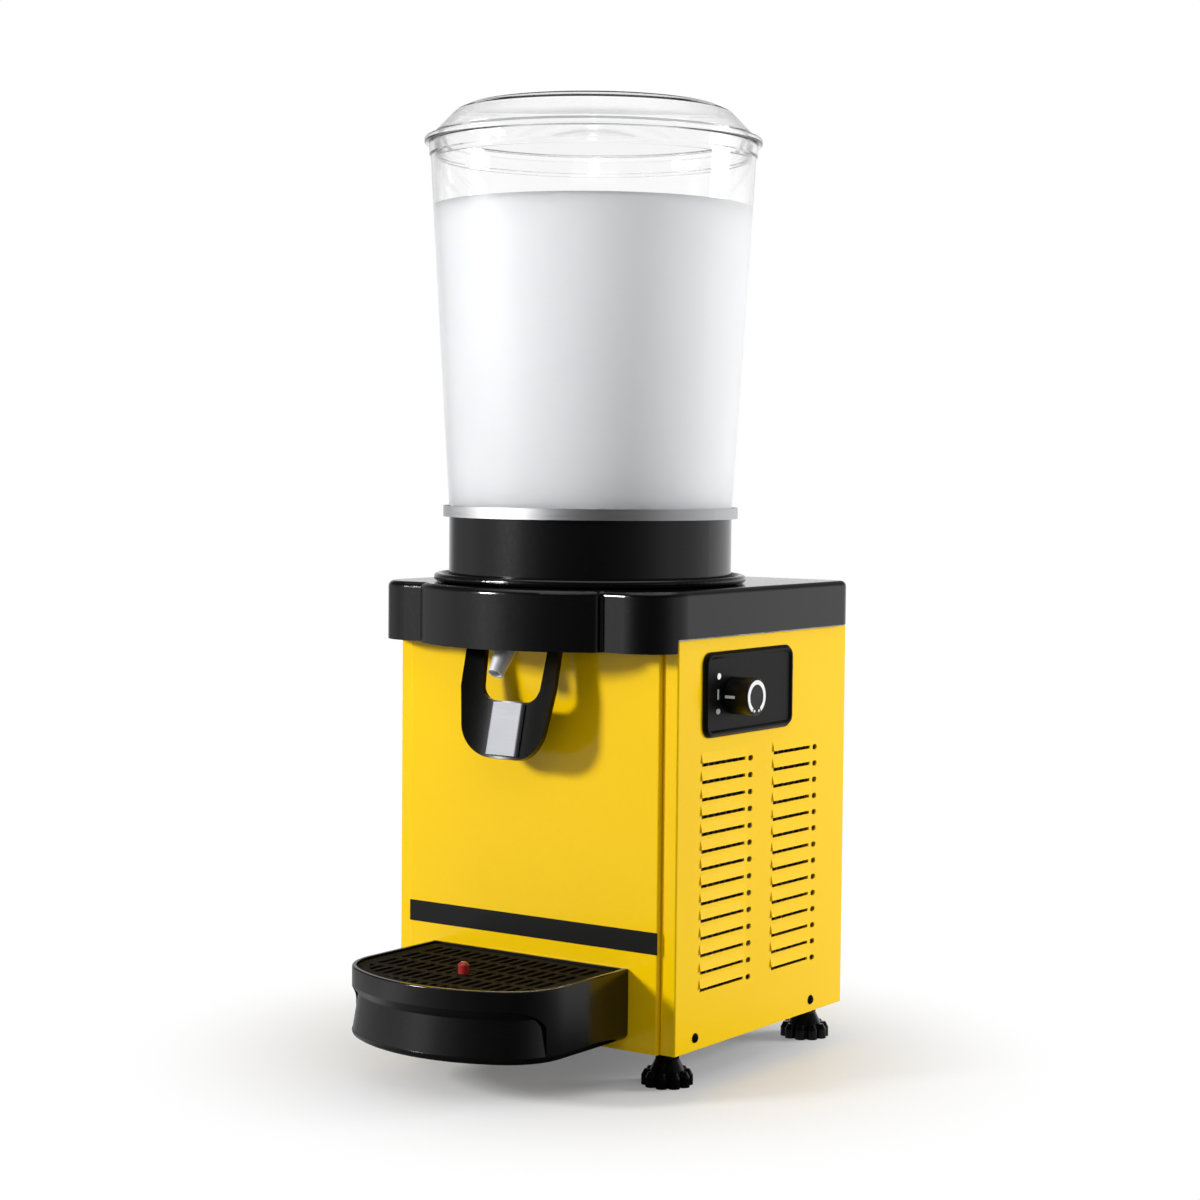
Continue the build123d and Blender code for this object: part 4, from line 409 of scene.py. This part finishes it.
def eased(corners, steps=6):
    """Closed (radius, height) profile in mm with each corner rounded by its third value."""
    points = []
    for i, (r, z, ease) in enumerate(corners):
        here = Vector((r, z))
        if not ease:
            points.append(here)
            continue
        a = (Vector(corners[i - 1][:2]) - here).normalized()
        b = (Vector(corners[(i + 1) % len(corners)][:2]) - here).normalized()
        half = a.angle(b) / 2
        centre = here + (a + b).normalized() * ease / sin(half)
        start = here + a * ease / tan(half) - centre
        end = here + b * ease / tan(half) - centre
        for k in range(steps + 1):
            points.append(centre + start.lerp(end, k / steps).normalized() * ease)
    return points


def lathe(name, corners, centre_y, finish, segments=224):
    """A turned piece round the upright axis at x 0, from a profile in mm."""
    bm = bmesh.new()
    rings = []
    for r, z in eased(corners):
        if r == 0:  # a pole is one point
            rings.append([bm.verts.new((0, centre_y * MM, z * MM))] * segments)
            continue
        rings.append([
            bm.verts.new((r * MM * cos(2 * pi * k / segments),
                          centre_y * MM + r * MM * sin(2 * pi * k / segments), z * MM))
            for k in range(segments)])
    for low, high in zip(rings, rings[1:] + rings[:1]):
        for k in range(segments):
            n = (k + 1) % segments
            around = list(dict.fromkeys((low[k], low[n], high[n], high[k])))
            if len(around) > 2:
                bm.faces.new(around)
    return piece_from(bm, name, finish)


# Bowl, lid and drink

BOWL_Y = -49.0
BOWL_Z, BOWL_TOP = 405.5, 676.0
BOWL_WALL = 3.0
BOWL_FOOT_R, BOWL_FLARE = 104.9, 15.8
FLANGE_R, FLANGE_TOP = 107.1, 408.5
RIM_Z, RIM_STEP = 667.0, 1.0
LID_Z = BOWL_TOP + 0.3
LID_TOP, LID_WALL = 704.3, 2.5
LID_R, LID_EDGE_TOP = 124.8, 680.3
PLUG_DEPTH, PLUG_GAP = 12.0, 0.5
DRINK_TOP, DRINK_LIP = 629.0, 2.0
DRINK_FOOT = BOWL_Z + 0.5
WET = 0.15  # the drink wets the wall, with no air between them


def bowl_radius(z):
    """Outer radius of the bowl's straight taper at a height."""
    return BOWL_FOOT_R + BOWL_FLARE * (z - BOWL_Z) / (BOWL_TOP - BOWL_Z)


def wet_radius(z):
    """Radius of the drink where it meets the bowl's wall."""
    return bowl_radius(z) - BOWL_WALL + WET


# Each profile lists radius, height and the rounding of the corner there
bowl = lathe("bowl_shell", [
    (BOWL_FOOT_R - BOWL_WALL, BOWL_Z, 0.6), (FLANGE_R, BOWL_Z, 0.8), (FLANGE_R, FLANGE_TOP, 0.8),
    (bowl_radius(FLANGE_TOP), FLANGE_TOP, 0.6), (bowl_radius(RIM_Z), RIM_Z, 0.4),
    (bowl_radius(RIM_Z) + RIM_STEP, RIM_Z + RIM_STEP, 0.4),
    (bowl_radius(BOWL_TOP) + RIM_STEP, BOWL_TOP, 0.9),
    (bowl_radius(BOWL_TOP) - BOWL_WALL, BOWL_TOP, 0.9),
], BOWL_Y, CLEAR)
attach(bowl, "bowl")
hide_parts("bowl")

PLUG_Z = LID_Z - PLUG_DEPTH
PLUG_R = bowl_radius(PLUG_Z) - BOWL_WALL - PLUG_GAP
lid = lathe("lid_shell", [
    (0, LID_TOP, 0), (94.5, 703.0, 6.0), (102.5, 699.3, 6.0), (121.0, LID_EDGE_TOP, 1.6),
    (LID_R, LID_EDGE_TOP, 1.2), (LID_R, LID_Z, 1.2), (PLUG_R, LID_Z, 0.4), (PLUG_R, PLUG_Z, 0.9),
    (PLUG_R - LID_WALL, PLUG_Z, 0.9), (PLUG_R - LID_WALL, LID_Z, 1.2), (114.8, 681.8, 2.0),
    (100.0, 696.8, 4.0), (93.2, 699.8, 4.0), (0, LID_TOP - LID_WALL, 0),
], BOWL_Y, CLEAR)
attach(lid, "lid")
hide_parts("lid")

drink = lathe("drink", [
    (0, DRINK_FOOT, 0), (wet_radius(BOWL_Z), DRINK_FOOT, 0.5),
    (wet_radius(DRINK_TOP + DRINK_LIP), DRINK_TOP + DRINK_LIP, 0),
    (bowl_radius(DRINK_TOP) - BOWL_WALL - 2.6, DRINK_TOP, 2.0), (0, DRINK_TOP, 0),
], BOWL_Y, DRINK)
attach(drink, "bowl")


# Printed marks

def flat_mark(bm, outline, thickness, place):
    """A thin printed patch: an outline raised by the ink, each (u, v, w) set in place."""
    low = [bm.verts.new(place(u, v, 0)) for u, v in outline]
    high = [bm.verts.new(place(u, v, thickness)) for u, v in outline]
    bm.faces.new(low)
    bm.faces.new(list(reversed(high)))
    for i in range(len(outline)):
        n = (i + 1) % len(outline)
        bm.faces.new((low[i], high[i], high[n], low[n]))


def oval(y, z, half_y, half_z, count=28):
    """Outline of a printed dot round a middle."""
    return [(y + half_y * cos(2 * pi * k / count), z + half_z * sin(2 * pi * k / count))
            for k in range(count)]


INK_MM = 0.15
PANEL_SINK = 1.5  # the panel's field below its frame
PANEL_FACE_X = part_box("control_panel")[1][0] / MM - PANEL_SINK
knob_low, knob_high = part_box("mode_knob")
KNOB_FACE_X = knob_high[0] / MM
KNOB_Y = (knob_low[1] + knob_high[1]) / 2 / MM
KNOB_Z = (knob_low[2] + knob_high[2]) / 2 / MM
KNOB_R = (knob_high[1] - knob_low[1]) / 2 / MM
RING_IN, RING_OUT = 8.9, 12.0
RING_START, RING_SWEEP, RING_STEPS = -60, 300, 60
KNOB_DOTS = [(-3.0, -10.0), (3.0, -10.0)]
KNOB_DOT_R = 1.0
POINTER_LOW, POINTER_HIGH = 128.2, 136.5
POINTER_TURN = 0.075


def on_panel(y, z, lift):
    """A point of a mark on the panel's field."""
    return ((PANEL_FACE_X + lift) * MM, y * MM, z * MM)


def on_knob(y, z, lift):
    """A point of a mark on the knob's face."""
    return ((KNOB_FACE_X + lift) * MM, y * MM, z * MM)


def round_knob(x, turn, lift):
    """A point of a mark on the knob's round side, by its angle from the front."""
    reach = KNOB_R + lift
    return (x * MM, (KNOB_Y - reach * cos(turn)) * MM, (KNOB_Z + reach * sin(turn)) * MM)


def print_panel():
    """Two dots with a bar between them, beside the knob."""
    bm = bmesh.new()
    bar = [(-69.6, 274.8), (-67.8, 274.8), (-67.8, 282.2), (-69.6, 282.2)]
    for mark in (oval(-67.7, 291.4, 2.4, 2.3), bar, oval(-68.4, 266.3, 2.7, 2.0)):
        flat_mark(bm, mark, INK_MM, on_panel)
    return piece_from(bm, "panel_marks", INK)


def print_knob():
    """An open ring with two dots in its gap on the knob's face, and a pointer on its side."""
    bm = bmesh.new()
    arc = [radians(RING_START + RING_SWEEP * k / RING_STEPS) for k in range(RING_STEPS + 1)]
    ring = [(KNOB_Y + RING_OUT * cos(a), KNOB_Z + RING_OUT * sin(a)) for a in arc]
    ring += [(KNOB_Y + RING_IN * cos(a), KNOB_Z + RING_IN * sin(a)) for a in reversed(arc)]
    flat_mark(bm, ring, INK_MM, on_knob)
    for y, z in KNOB_DOTS:
        dot = oval(KNOB_Y + y, KNOB_Z + z, KNOB_DOT_R, KNOB_DOT_R, 20)
        flat_mark(bm, dot, INK_MM, on_knob)
    pointer = [(POINTER_LOW, -POINTER_TURN), (POINTER_HIGH, -POINTER_TURN),
               (POINTER_HIGH, POINTER_TURN), (POINTER_LOW, POINTER_TURN)]
    flat_mark(bm, pointer, INK_MM, round_knob)
    return piece_from(bm, "knob_marks", INK)


panel_marks = print_panel()
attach(panel_marks, "casing")
knob_marks = print_knob()
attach(knob_marks, "mode_knob")


# Screws

def screw_tree():
    """Pan-head screws with a cross recess, one at each point, along the point's aim."""
    tree = bpy.data.node_groups.new("cross_recess_screws", "GeometryNodeTree")
    tree.interface.new_socket("Geometry", in_out="INPUT", socket_type="NodeSocketGeometry")
    for name in ("Head Radius", "Head Height", "Recess Width", "Recess Depth", "Shank Radius",
                 "Shank Length"):
        tree.interface.new_socket(name, in_out="INPUT", socket_type="NodeSocketFloat")
    tree.interface.new_socket("Finish", in_out="INPUT", socket_type="NodeSocketMaterial")
    tree.interface.new_socket("Geometry", in_out="OUTPUT", socket_type="NodeSocketGeometry")
    given = add(tree, "NodeGroupInput").outputs
    ball = add(tree, "GeometryNodeMeshUVSphere", {"Segments": 32, "Rings": 24, "Radius": 1.0})
    size = add(tree, "ShaderNodeCombineXYZ", links={
        0: given["Head Radius"], 1: given["Head Radius"], 2: given["Head Height"]})
    dome = add(tree, "GeometryNodeTransform", links={
        "Geometry": ball.outputs["Mesh"], "Scale": size.outputs[0]})
    wide = add(tree, "ShaderNodeMath", {1: 3.0}, {0: given["Head Radius"]}, operation="MULTIPLY")
    under = add(tree, "ShaderNodeCombineXYZ", links={
        0: wide.outputs[0], 1: wide.outputs[0], 2: wide.outputs[0]})
    sink = add(tree, "ShaderNodeMath", {1: -1.5}, {0: given["Head Radius"]}, operation="MULTIPLY")
    drop = add(tree, "ShaderNodeCombineXYZ", links={2: sink.outputs[0]})
    block = add(tree, "GeometryNodeMeshCube", links={"Size": under.outputs[0]})
    base = add(tree, "GeometryNodeTransform", links={
        "Geometry": block.outputs["Mesh"], "Translation": drop.outputs[0]})
    long = add(tree, "ShaderNodeMath", {1: 1.15}, {0: given["Head Radius"]}, operation="MULTIPLY")
    deep = add(tree, "ShaderNodeMath", {1: 2.0}, {0: given["Recess Depth"]}, operation="MULTIPLY")
    cut_a = add(tree, "ShaderNodeCombineXYZ", links={
        0: long.outputs[0], 1: given["Recess Width"], 2: deep.outputs[0]})
    cut_b = add(tree, "ShaderNodeCombineXYZ", links={
        0: given["Recess Width"], 1: long.outputs[0], 2: deep.outputs[0]})
    rise = add(tree, "ShaderNodeCombineXYZ", links={2: given["Head Height"]})
    cuts = []
    for size in (cut_a, cut_b):
        arm = add(tree, "GeometryNodeMeshCube", links={"Size": size.outputs[0]})
        cuts.append(add(tree, "GeometryNodeTransform", links={
            "Geometry": arm.outputs["Mesh"], "Translation": rise.outputs[0]}))
    head = add(tree, "GeometryNodeMeshBoolean", links={"Mesh 1": dome.outputs[0]},
               operation="DIFFERENCE", solver="EXACT")
    for cutter in (base, *cuts):
        tree.links.new(cutter.outputs[0], head.inputs["Mesh 2"])
    shank = add(tree, "GeometryNodeMeshCylinder", {"Vertices": 20}, {
        "Radius": given["Shank Radius"], "Depth": given["Shank Length"]})
    half = add(tree, "ShaderNodeMath", {1: -0.5}, {0: given["Shank Length"]},
               operation="MULTIPLY")
    lower = add(tree, "ShaderNodeCombineXYZ", links={2: half.outputs[0]})
    stem = add(tree, "GeometryNodeTransform", links={
        "Geometry": shank.outputs["Mesh"], "Translation": lower.outputs[0]})
    screw = add(tree, "GeometryNodeJoinGeometry")
    tree.links.new(head.outputs[0], screw.inputs[0])
    tree.links.new(stem.outputs[0], screw.inputs[0])
    aim = add(tree, "GeometryNodeInputNamedAttribute", {"Name": "aim"},
              data_type="FLOAT_VECTOR")
    turn = add(tree, "FunctionNodeAlignRotationToVector", links={"Vector": aim.outputs[0]},
               axis="Z")
    spread = add(tree, "GeometryNodeInstanceOnPoints", links={
        "Points": given["Geometry"], "Instance": screw.outputs[0], "Rotation": turn.outputs[0]})
    real = add(tree, "GeometryNodeRealizeInstances", links={0: spread.outputs[0]})
    coat = add(tree, "GeometryNodeSetMaterial", links={
        "Geometry": real.outputs[0], "Material": given["Finish"]})
    add(tree, "NodeGroupOutput", links={0: coat.outputs[0]})
    return tree


SCREWS = screw_tree()
SCREW_SIZES = {
    "Head Radius": 3.6 * MM, "Head Height": 2.0 * MM, "Recess Width": 0.9 * MM,
    "Recess Depth": 1.1 * MM, "Shank Radius": 1.9 * MM, "Shank Length": 9.0 * MM,
}
SIDE_X, SIDE_SCREW_Y, SIDE_SCREW_Z = 125.0, (-91.0, 70.0), 35.0
BACK_Y, BACK_SCREW_X, BACK_SCREW_Z = 117.0, (-119.0, 119.0), (56.0, 276.0)


def grown(name, points, tree, sizes):
    """One plain mesh piece grown by a node tree from points, with the tree's inputs set."""
    holder = placed(name + "_places", points)
    grow = holder.modifiers.new("grow", "NODES")
    grow.node_group = tree
    for item in tree.interface.items_tree:
        if item.in_out == "INPUT" and item.name in sizes:
            grow[item.identifier] = sizes[item.name]
    shown = holder.evaluated_get(bpy.context.evaluated_depsgraph_get())
    mesh = bpy.data.meshes.new_from_object(shown)
    mesh.name = name
    bpy.data.objects.remove(holder)
    bm = bmesh.new()
    bm.from_mesh(mesh)
    bmesh.ops.remove_doubles(bm, verts=bm.verts, dist=SLIVER)
    bmesh.ops.dissolve_degenerate(bm, edges=bm.edges, dist=SLIVER)
    bm.to_mesh(mesh)
    bm.free()
    mesh.polygons.foreach_set("use_smooth", [True] * len(mesh.polygons))
    mesh.set_sharp_from_angle(angle=radians(35))
    return placed(name, mesh)


def screws(name, places, aims, finish):
    """One plain mesh with a screw at each place in mm."""
    points = bpy.data.meshes.new(name + "_places")
    points.from_pydata([Vector(p) * MM for p in places], [], [])
    toward = points.attributes.new("aim", "FLOAT_VECTOR", "POINT")
    toward.data.foreach_set("vector", [c for a in aims for c in a])
    return grown(name, points, SCREWS, {**SCREW_SIZES, "Finish": finish})


side_places = [(side * SIDE_X, y, SIDE_SCREW_Z) for side in (-1, 1) for y in SIDE_SCREW_Y]
side_screws = screws("side_screw_heads", side_places,
                     [(-1, 0, 0)] * 2 + [(1, 0, 0)] * 2, BLACK_OXIDE)
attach(side_screws, "casing")
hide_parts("side_screws")

back_places = [(x, BACK_Y, z) for x in BACK_SCREW_X for z in BACK_SCREW_Z]
back_screws = screws("back_screw_heads", back_places, [(0, 1, 0)] * 4, ZINC)
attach(back_screws, "casing")
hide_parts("back_screws")


# Valve spring

def coil_tree():
    """A coil spring of round wire, wound up from a point on the upright axis."""
    tree = bpy.data.node_groups.new("coil_spring", "GeometryNodeTree")
    tree.interface.new_socket("Geometry", in_out="INPUT", socket_type="NodeSocketGeometry")
    for name in ("Mean Radius", "Wire Radius", "Rise", "Turns"):
        tree.interface.new_socket(name, in_out="INPUT", socket_type="NodeSocketFloat")
    tree.interface.new_socket("Finish", in_out="INPUT", socket_type="NodeSocketMaterial")
    tree.interface.new_socket("Geometry", in_out="OUTPUT", socket_type="NodeSocketGeometry")
    given = add(tree, "NodeGroupInput").outputs
    path = add(tree, "GeometryNodeCurveSpiral", {"Resolution": 28}, {
        "Rotations": given["Turns"], "Start Radius": given["Mean Radius"],
        "End Radius": given["Mean Radius"], "Height": given["Rise"]})
    section = add(tree, "GeometryNodeCurvePrimitiveCircle", {"Resolution": 12},
                  {"Radius": given["Wire Radius"]})
    wire = add(tree, "GeometryNodeCurveToMesh", {"Fill Caps": True}, {
        "Curve": path.outputs[0], "Profile Curve": section.outputs[0]})
    stand = add(tree, "GeometryNodeInstanceOnPoints", links={
        "Points": given["Geometry"], "Instance": wire.outputs[0]})
    real = add(tree, "GeometryNodeRealizeInstances", links={0: stand.outputs[0]})
    coat = add(tree, "GeometryNodeSetMaterial", links={
        "Geometry": real.outputs[0], "Material": given["Finish"]})
    add(tree, "NodeGroupOutput", links={0: coat.outputs[0]})
    return tree


SPRING_WIRE = 1.2 * MM
SPRING_TURNS = 4.0
spring_low, spring_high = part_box("valve_spring")
spring_foot = bpy.data.meshes.new("spring_foot")
spring_foot.from_pydata([((spring_low[0] + spring_high[0]) / 2,
                          (spring_low[1] + spring_high[1]) / 2,
                          spring_low[2] + SPRING_WIRE / 2)], [], [])
spring = grown("valve_spring_coil", spring_foot, coil_tree(), {
    "Mean Radius": (spring_high[0] - spring_low[0] - SPRING_WIRE) / 2,
    "Wire Radius": SPRING_WIRE / 2, "Rise": spring_high[2] - spring_low[2] - SPRING_WIRE,
    "Turns": SPRING_TURNS, "Finish": SPRING_STEEL})
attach(spring, "casing")
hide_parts("valve_spring")
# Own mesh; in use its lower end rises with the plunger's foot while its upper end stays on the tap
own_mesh(spring)


# Studio: floor, world and lamps

AMBIENT = 0.26
# Brightness of the studio's walls round the object, by bearing in degrees from the right
STUDIO_WALLS = [(-180, 0.32), (-165, 0.42), (-150, 0.42), (-138, 0.52), (-126, 0.80),
                (-118, 0.70), (-108, 0.34), (-92, 0.12), (-78, 0.05), (-55, 0.03), (-36, 0.06),
                (-20, 0.12), (-5, 0.24), (10, 0.42), (30, 0.50), (45, 0.62), (60, 0.82),
                (80, 0.92), (100, 0.90), (125, 0.95), (145, 0.70), (160, 0.25), (170, 0.25),
                (180, 0.32)]


def studio_walls(tree, toward):
    """How bright the surroundings look to a mirror facing a direction, by its bearing."""
    bearing = add(tree, "ShaderNodeTexGradient", links={0: toward}, gradient_type="RADIAL")
    walls = add(tree, "ShaderNodeValToRGB", links={0: bearing.outputs["Fac"]})
    stops = walls.color_ramp.elements
    stops.remove(stops[1])
    for index, (degrees, level) in enumerate(STUDIO_WALLS):
        stop = stops[0] if index == 0 else stops.new(degrees / 360 + 0.5)
        stop.position = degrees / 360 + 0.5
        stop.color = (level, level, level, 1)
    return walls.outputs["Color"]


def floor_finish():
    """White floor: soft shadow by the object, painted shade there in reflections, white further
    off.
    """
    finish, tree, place = new_finish("studio_floor_white")
    shifted = add(tree, "ShaderNodeVectorMath", {1: (0.0, 0.04, 0.0)}, {0: place},
                  operation="ADD")
    away = add(tree, "ShaderNodeVectorMath", links={0: shifted.outputs[0]}, operation="LENGTH")
    fade = add(tree, "ShaderNodeMapRange",
               {"From Min": 0.10, "From Max": 0.36, "To Min": 0.14, "To Max": 1.0},
               {"Value": away.outputs["Value"]}, interpolation_type="SMOOTHSTEP")
    ray = add(tree, "ShaderNodeLightPath")
    seen = add(tree, "ShaderNodeMath", links={
        0: ray.outputs["Is Camera Ray"], 1: ray.outputs["Is Transmission Ray"]},
        operation="MAXIMUM")
    plain = add(tree, "ShaderNodeMath", links={0: seen.outputs[0], 1: fade.outputs[0]},
                operation="MULTIPLY")
    # A ray through clear plastic counts as glossy too, and sees the floor as it is
    glint = add(tree, "ShaderNodeMath", links={
        0: ray.outputs["Is Glossy Ray"], 1: seen.outputs[0]}, operation="SUBTRACT",
        use_clamp=True)
    part = add(tree, "ShaderNodeMath", links={0: plain.outputs[0], 1: glint.outputs[0]},
               operation="MAXIMUM")
    grain = add(tree, "ShaderNodeTexNoise", {"Scale": per(6)}, {"Vector": place})
    tint = add(tree, "ShaderNodeMix", {6: linear("#F4F4F4"), 7: linear("#F8F8F8")},
               {0: grain.outputs["Fac"]}, data_type="RGBA")
    bounce = add(tree, "ShaderNodeMix", {6: linear("#A0A0A0")},
                 {0: seen.outputs[0], 7: tint.outputs[2]}, data_type="RGBA")
    matt = add(tree, "ShaderNodeBsdfPrincipled", {"Roughness": 0.5},
               {"Base Color": bounce.outputs[2]})
    # Painted shade: in reflections the floor shows the walls' level, dimmed near the object
    mirrored = add(tree, "ShaderNodeMath", links={
        0: studio_walls(tree, place), 1: fade.outputs[0]}, operation="MULTIPLY")
    level = add(tree, "ShaderNodeMix", {2: 1.0}, {
        0: glint.outputs[0], 3: mirrored.outputs[0]}, data_type="FLOAT")
    white = add(tree, "ShaderNodeEmission", links={"Strength": level.outputs[0]})
    shader = add(tree, "ShaderNodeMixShader", links={
        0: part.outputs[0], 1: matt.outputs[0], 2: white.outputs[0]})
    close_finish(tree, shader)
    return finish


FLOOR_HALF = 8.0
floor_grid = bmesh.new()
bmesh.ops.create_grid(floor_grid, x_segments=4, y_segments=4, size=FLOOR_HALF)
floor = piece_from(floor_grid, "studio_floor", floor_finish())


def light_world():
    """Plain white backdrop, a low even light, and the studio's walls in shiny surfaces."""
    world = bpy.data.worlds.new("studio_world")
    bpy.context.scene.world = world
    world.use_nodes = True
    tree = world.node_tree
    tree.nodes.clear()
    ray = add(tree, "ShaderNodeLightPath")
    seen = add(tree, "ShaderNodeMath", links={
        0: ray.outputs["Is Camera Ray"], 1: ray.outputs["Is Transmission Ray"]},
        operation="MAXIMUM")
    toward = add(tree, "ShaderNodeTexCoord").outputs["Generated"]
    height = add(tree, "ShaderNodeSeparateXYZ", links={0: toward})
    upper = add(tree, "ShaderNodeMapRange",
                {"From Min": 0.06, "From Max": 0.4, "To Min": 1.0, "To Max": 0.2},
                {"Value": height.outputs["Z"]})
    overhead = add(tree, "ShaderNodeMapRange",
                   {"From Min": 0.72, "From Max": 0.92, "To Min": 0.0, "To Max": 1.0},
                   {"Value": height.outputs["Z"]})
    around = add(tree, "ShaderNodeMath", links={
        0: studio_walls(tree, toward), 1: upper.outputs[0], 2: overhead.outputs[0]},
        operation="MULTIPLY_ADD")
    shiny = add(tree, "ShaderNodeMix", {2: AMBIENT}, {
        0: ray.outputs["Is Glossy Ray"], 3: around.outputs[0]}, data_type="FLOAT")
    level = add(tree, "ShaderNodeMath", links={0: seen.outputs[0], 1: shiny.outputs[0]},
                operation="MAXIMUM")
    sky = add(tree, "ShaderNodeBackground", {"Color": (1, 1, 1, 1)}, {"Strength": level.outputs[0]})
    add(tree, "ShaderNodeOutputWorld", links={"Surface": sky.outputs[0]})


def aim_lamp(lamp, place, aim):
    """Sets a lamp at a place, facing a point."""
    lamp.location = place
    lamp.rotation_euler = (Vector(aim) - Vector(place)).to_track_quat("-Z", "Y").to_euler()


def softbox(name, place, aim, width, height, watts, mirrored=True):
    """A rectangular studio light that faces a point, and shows in shiny surfaces or not."""
    data = bpy.data.lights.new(name, "AREA")
    data.shape = "RECTANGLE"
    data.size = width
    data.size_y = height
    data.energy = watts
    lamp = placed(name, data)
    lamp.visible_glossy = mirrored
    aim_lamp(lamp, place, aim)


def bowl_spot():
    """A narrow soft lamp in front of the bowl that lifts the drink and nothing below it."""
    data = bpy.data.lights.new("bowl_spot", "SPOT")
    data.energy = 50
    data.spot_size = radians(13)
    data.spot_blend = 0.8
    data.shadow_soft_size = 0.15
    lamp = placed("bowl_spot", data)
    lamp.visible_glossy = False
    aim_lamp(lamp, (1.25, -1.85, 0.80), (0, BOWL_Y * MM, 0.56))


light_world()
softbox("key_softbox", (-1.25, -1.92, 0.93), (0, -0.1, 0.28), 0.34, 0.34, 45)
softbox("side_softbox", (1.75, 1.75, 0.66), (0, 0, 0.30), 0.9, 1.0, 64, mirrored=False)
softbox("fill_softbox", (1.15, -1.75, 1.95), (0, -0.05, 0.35), 1.5, 1.2, 8, mirrored=False)
bowl_spot()

bpy.context.scene.view_settings.view_transform = "Standard"
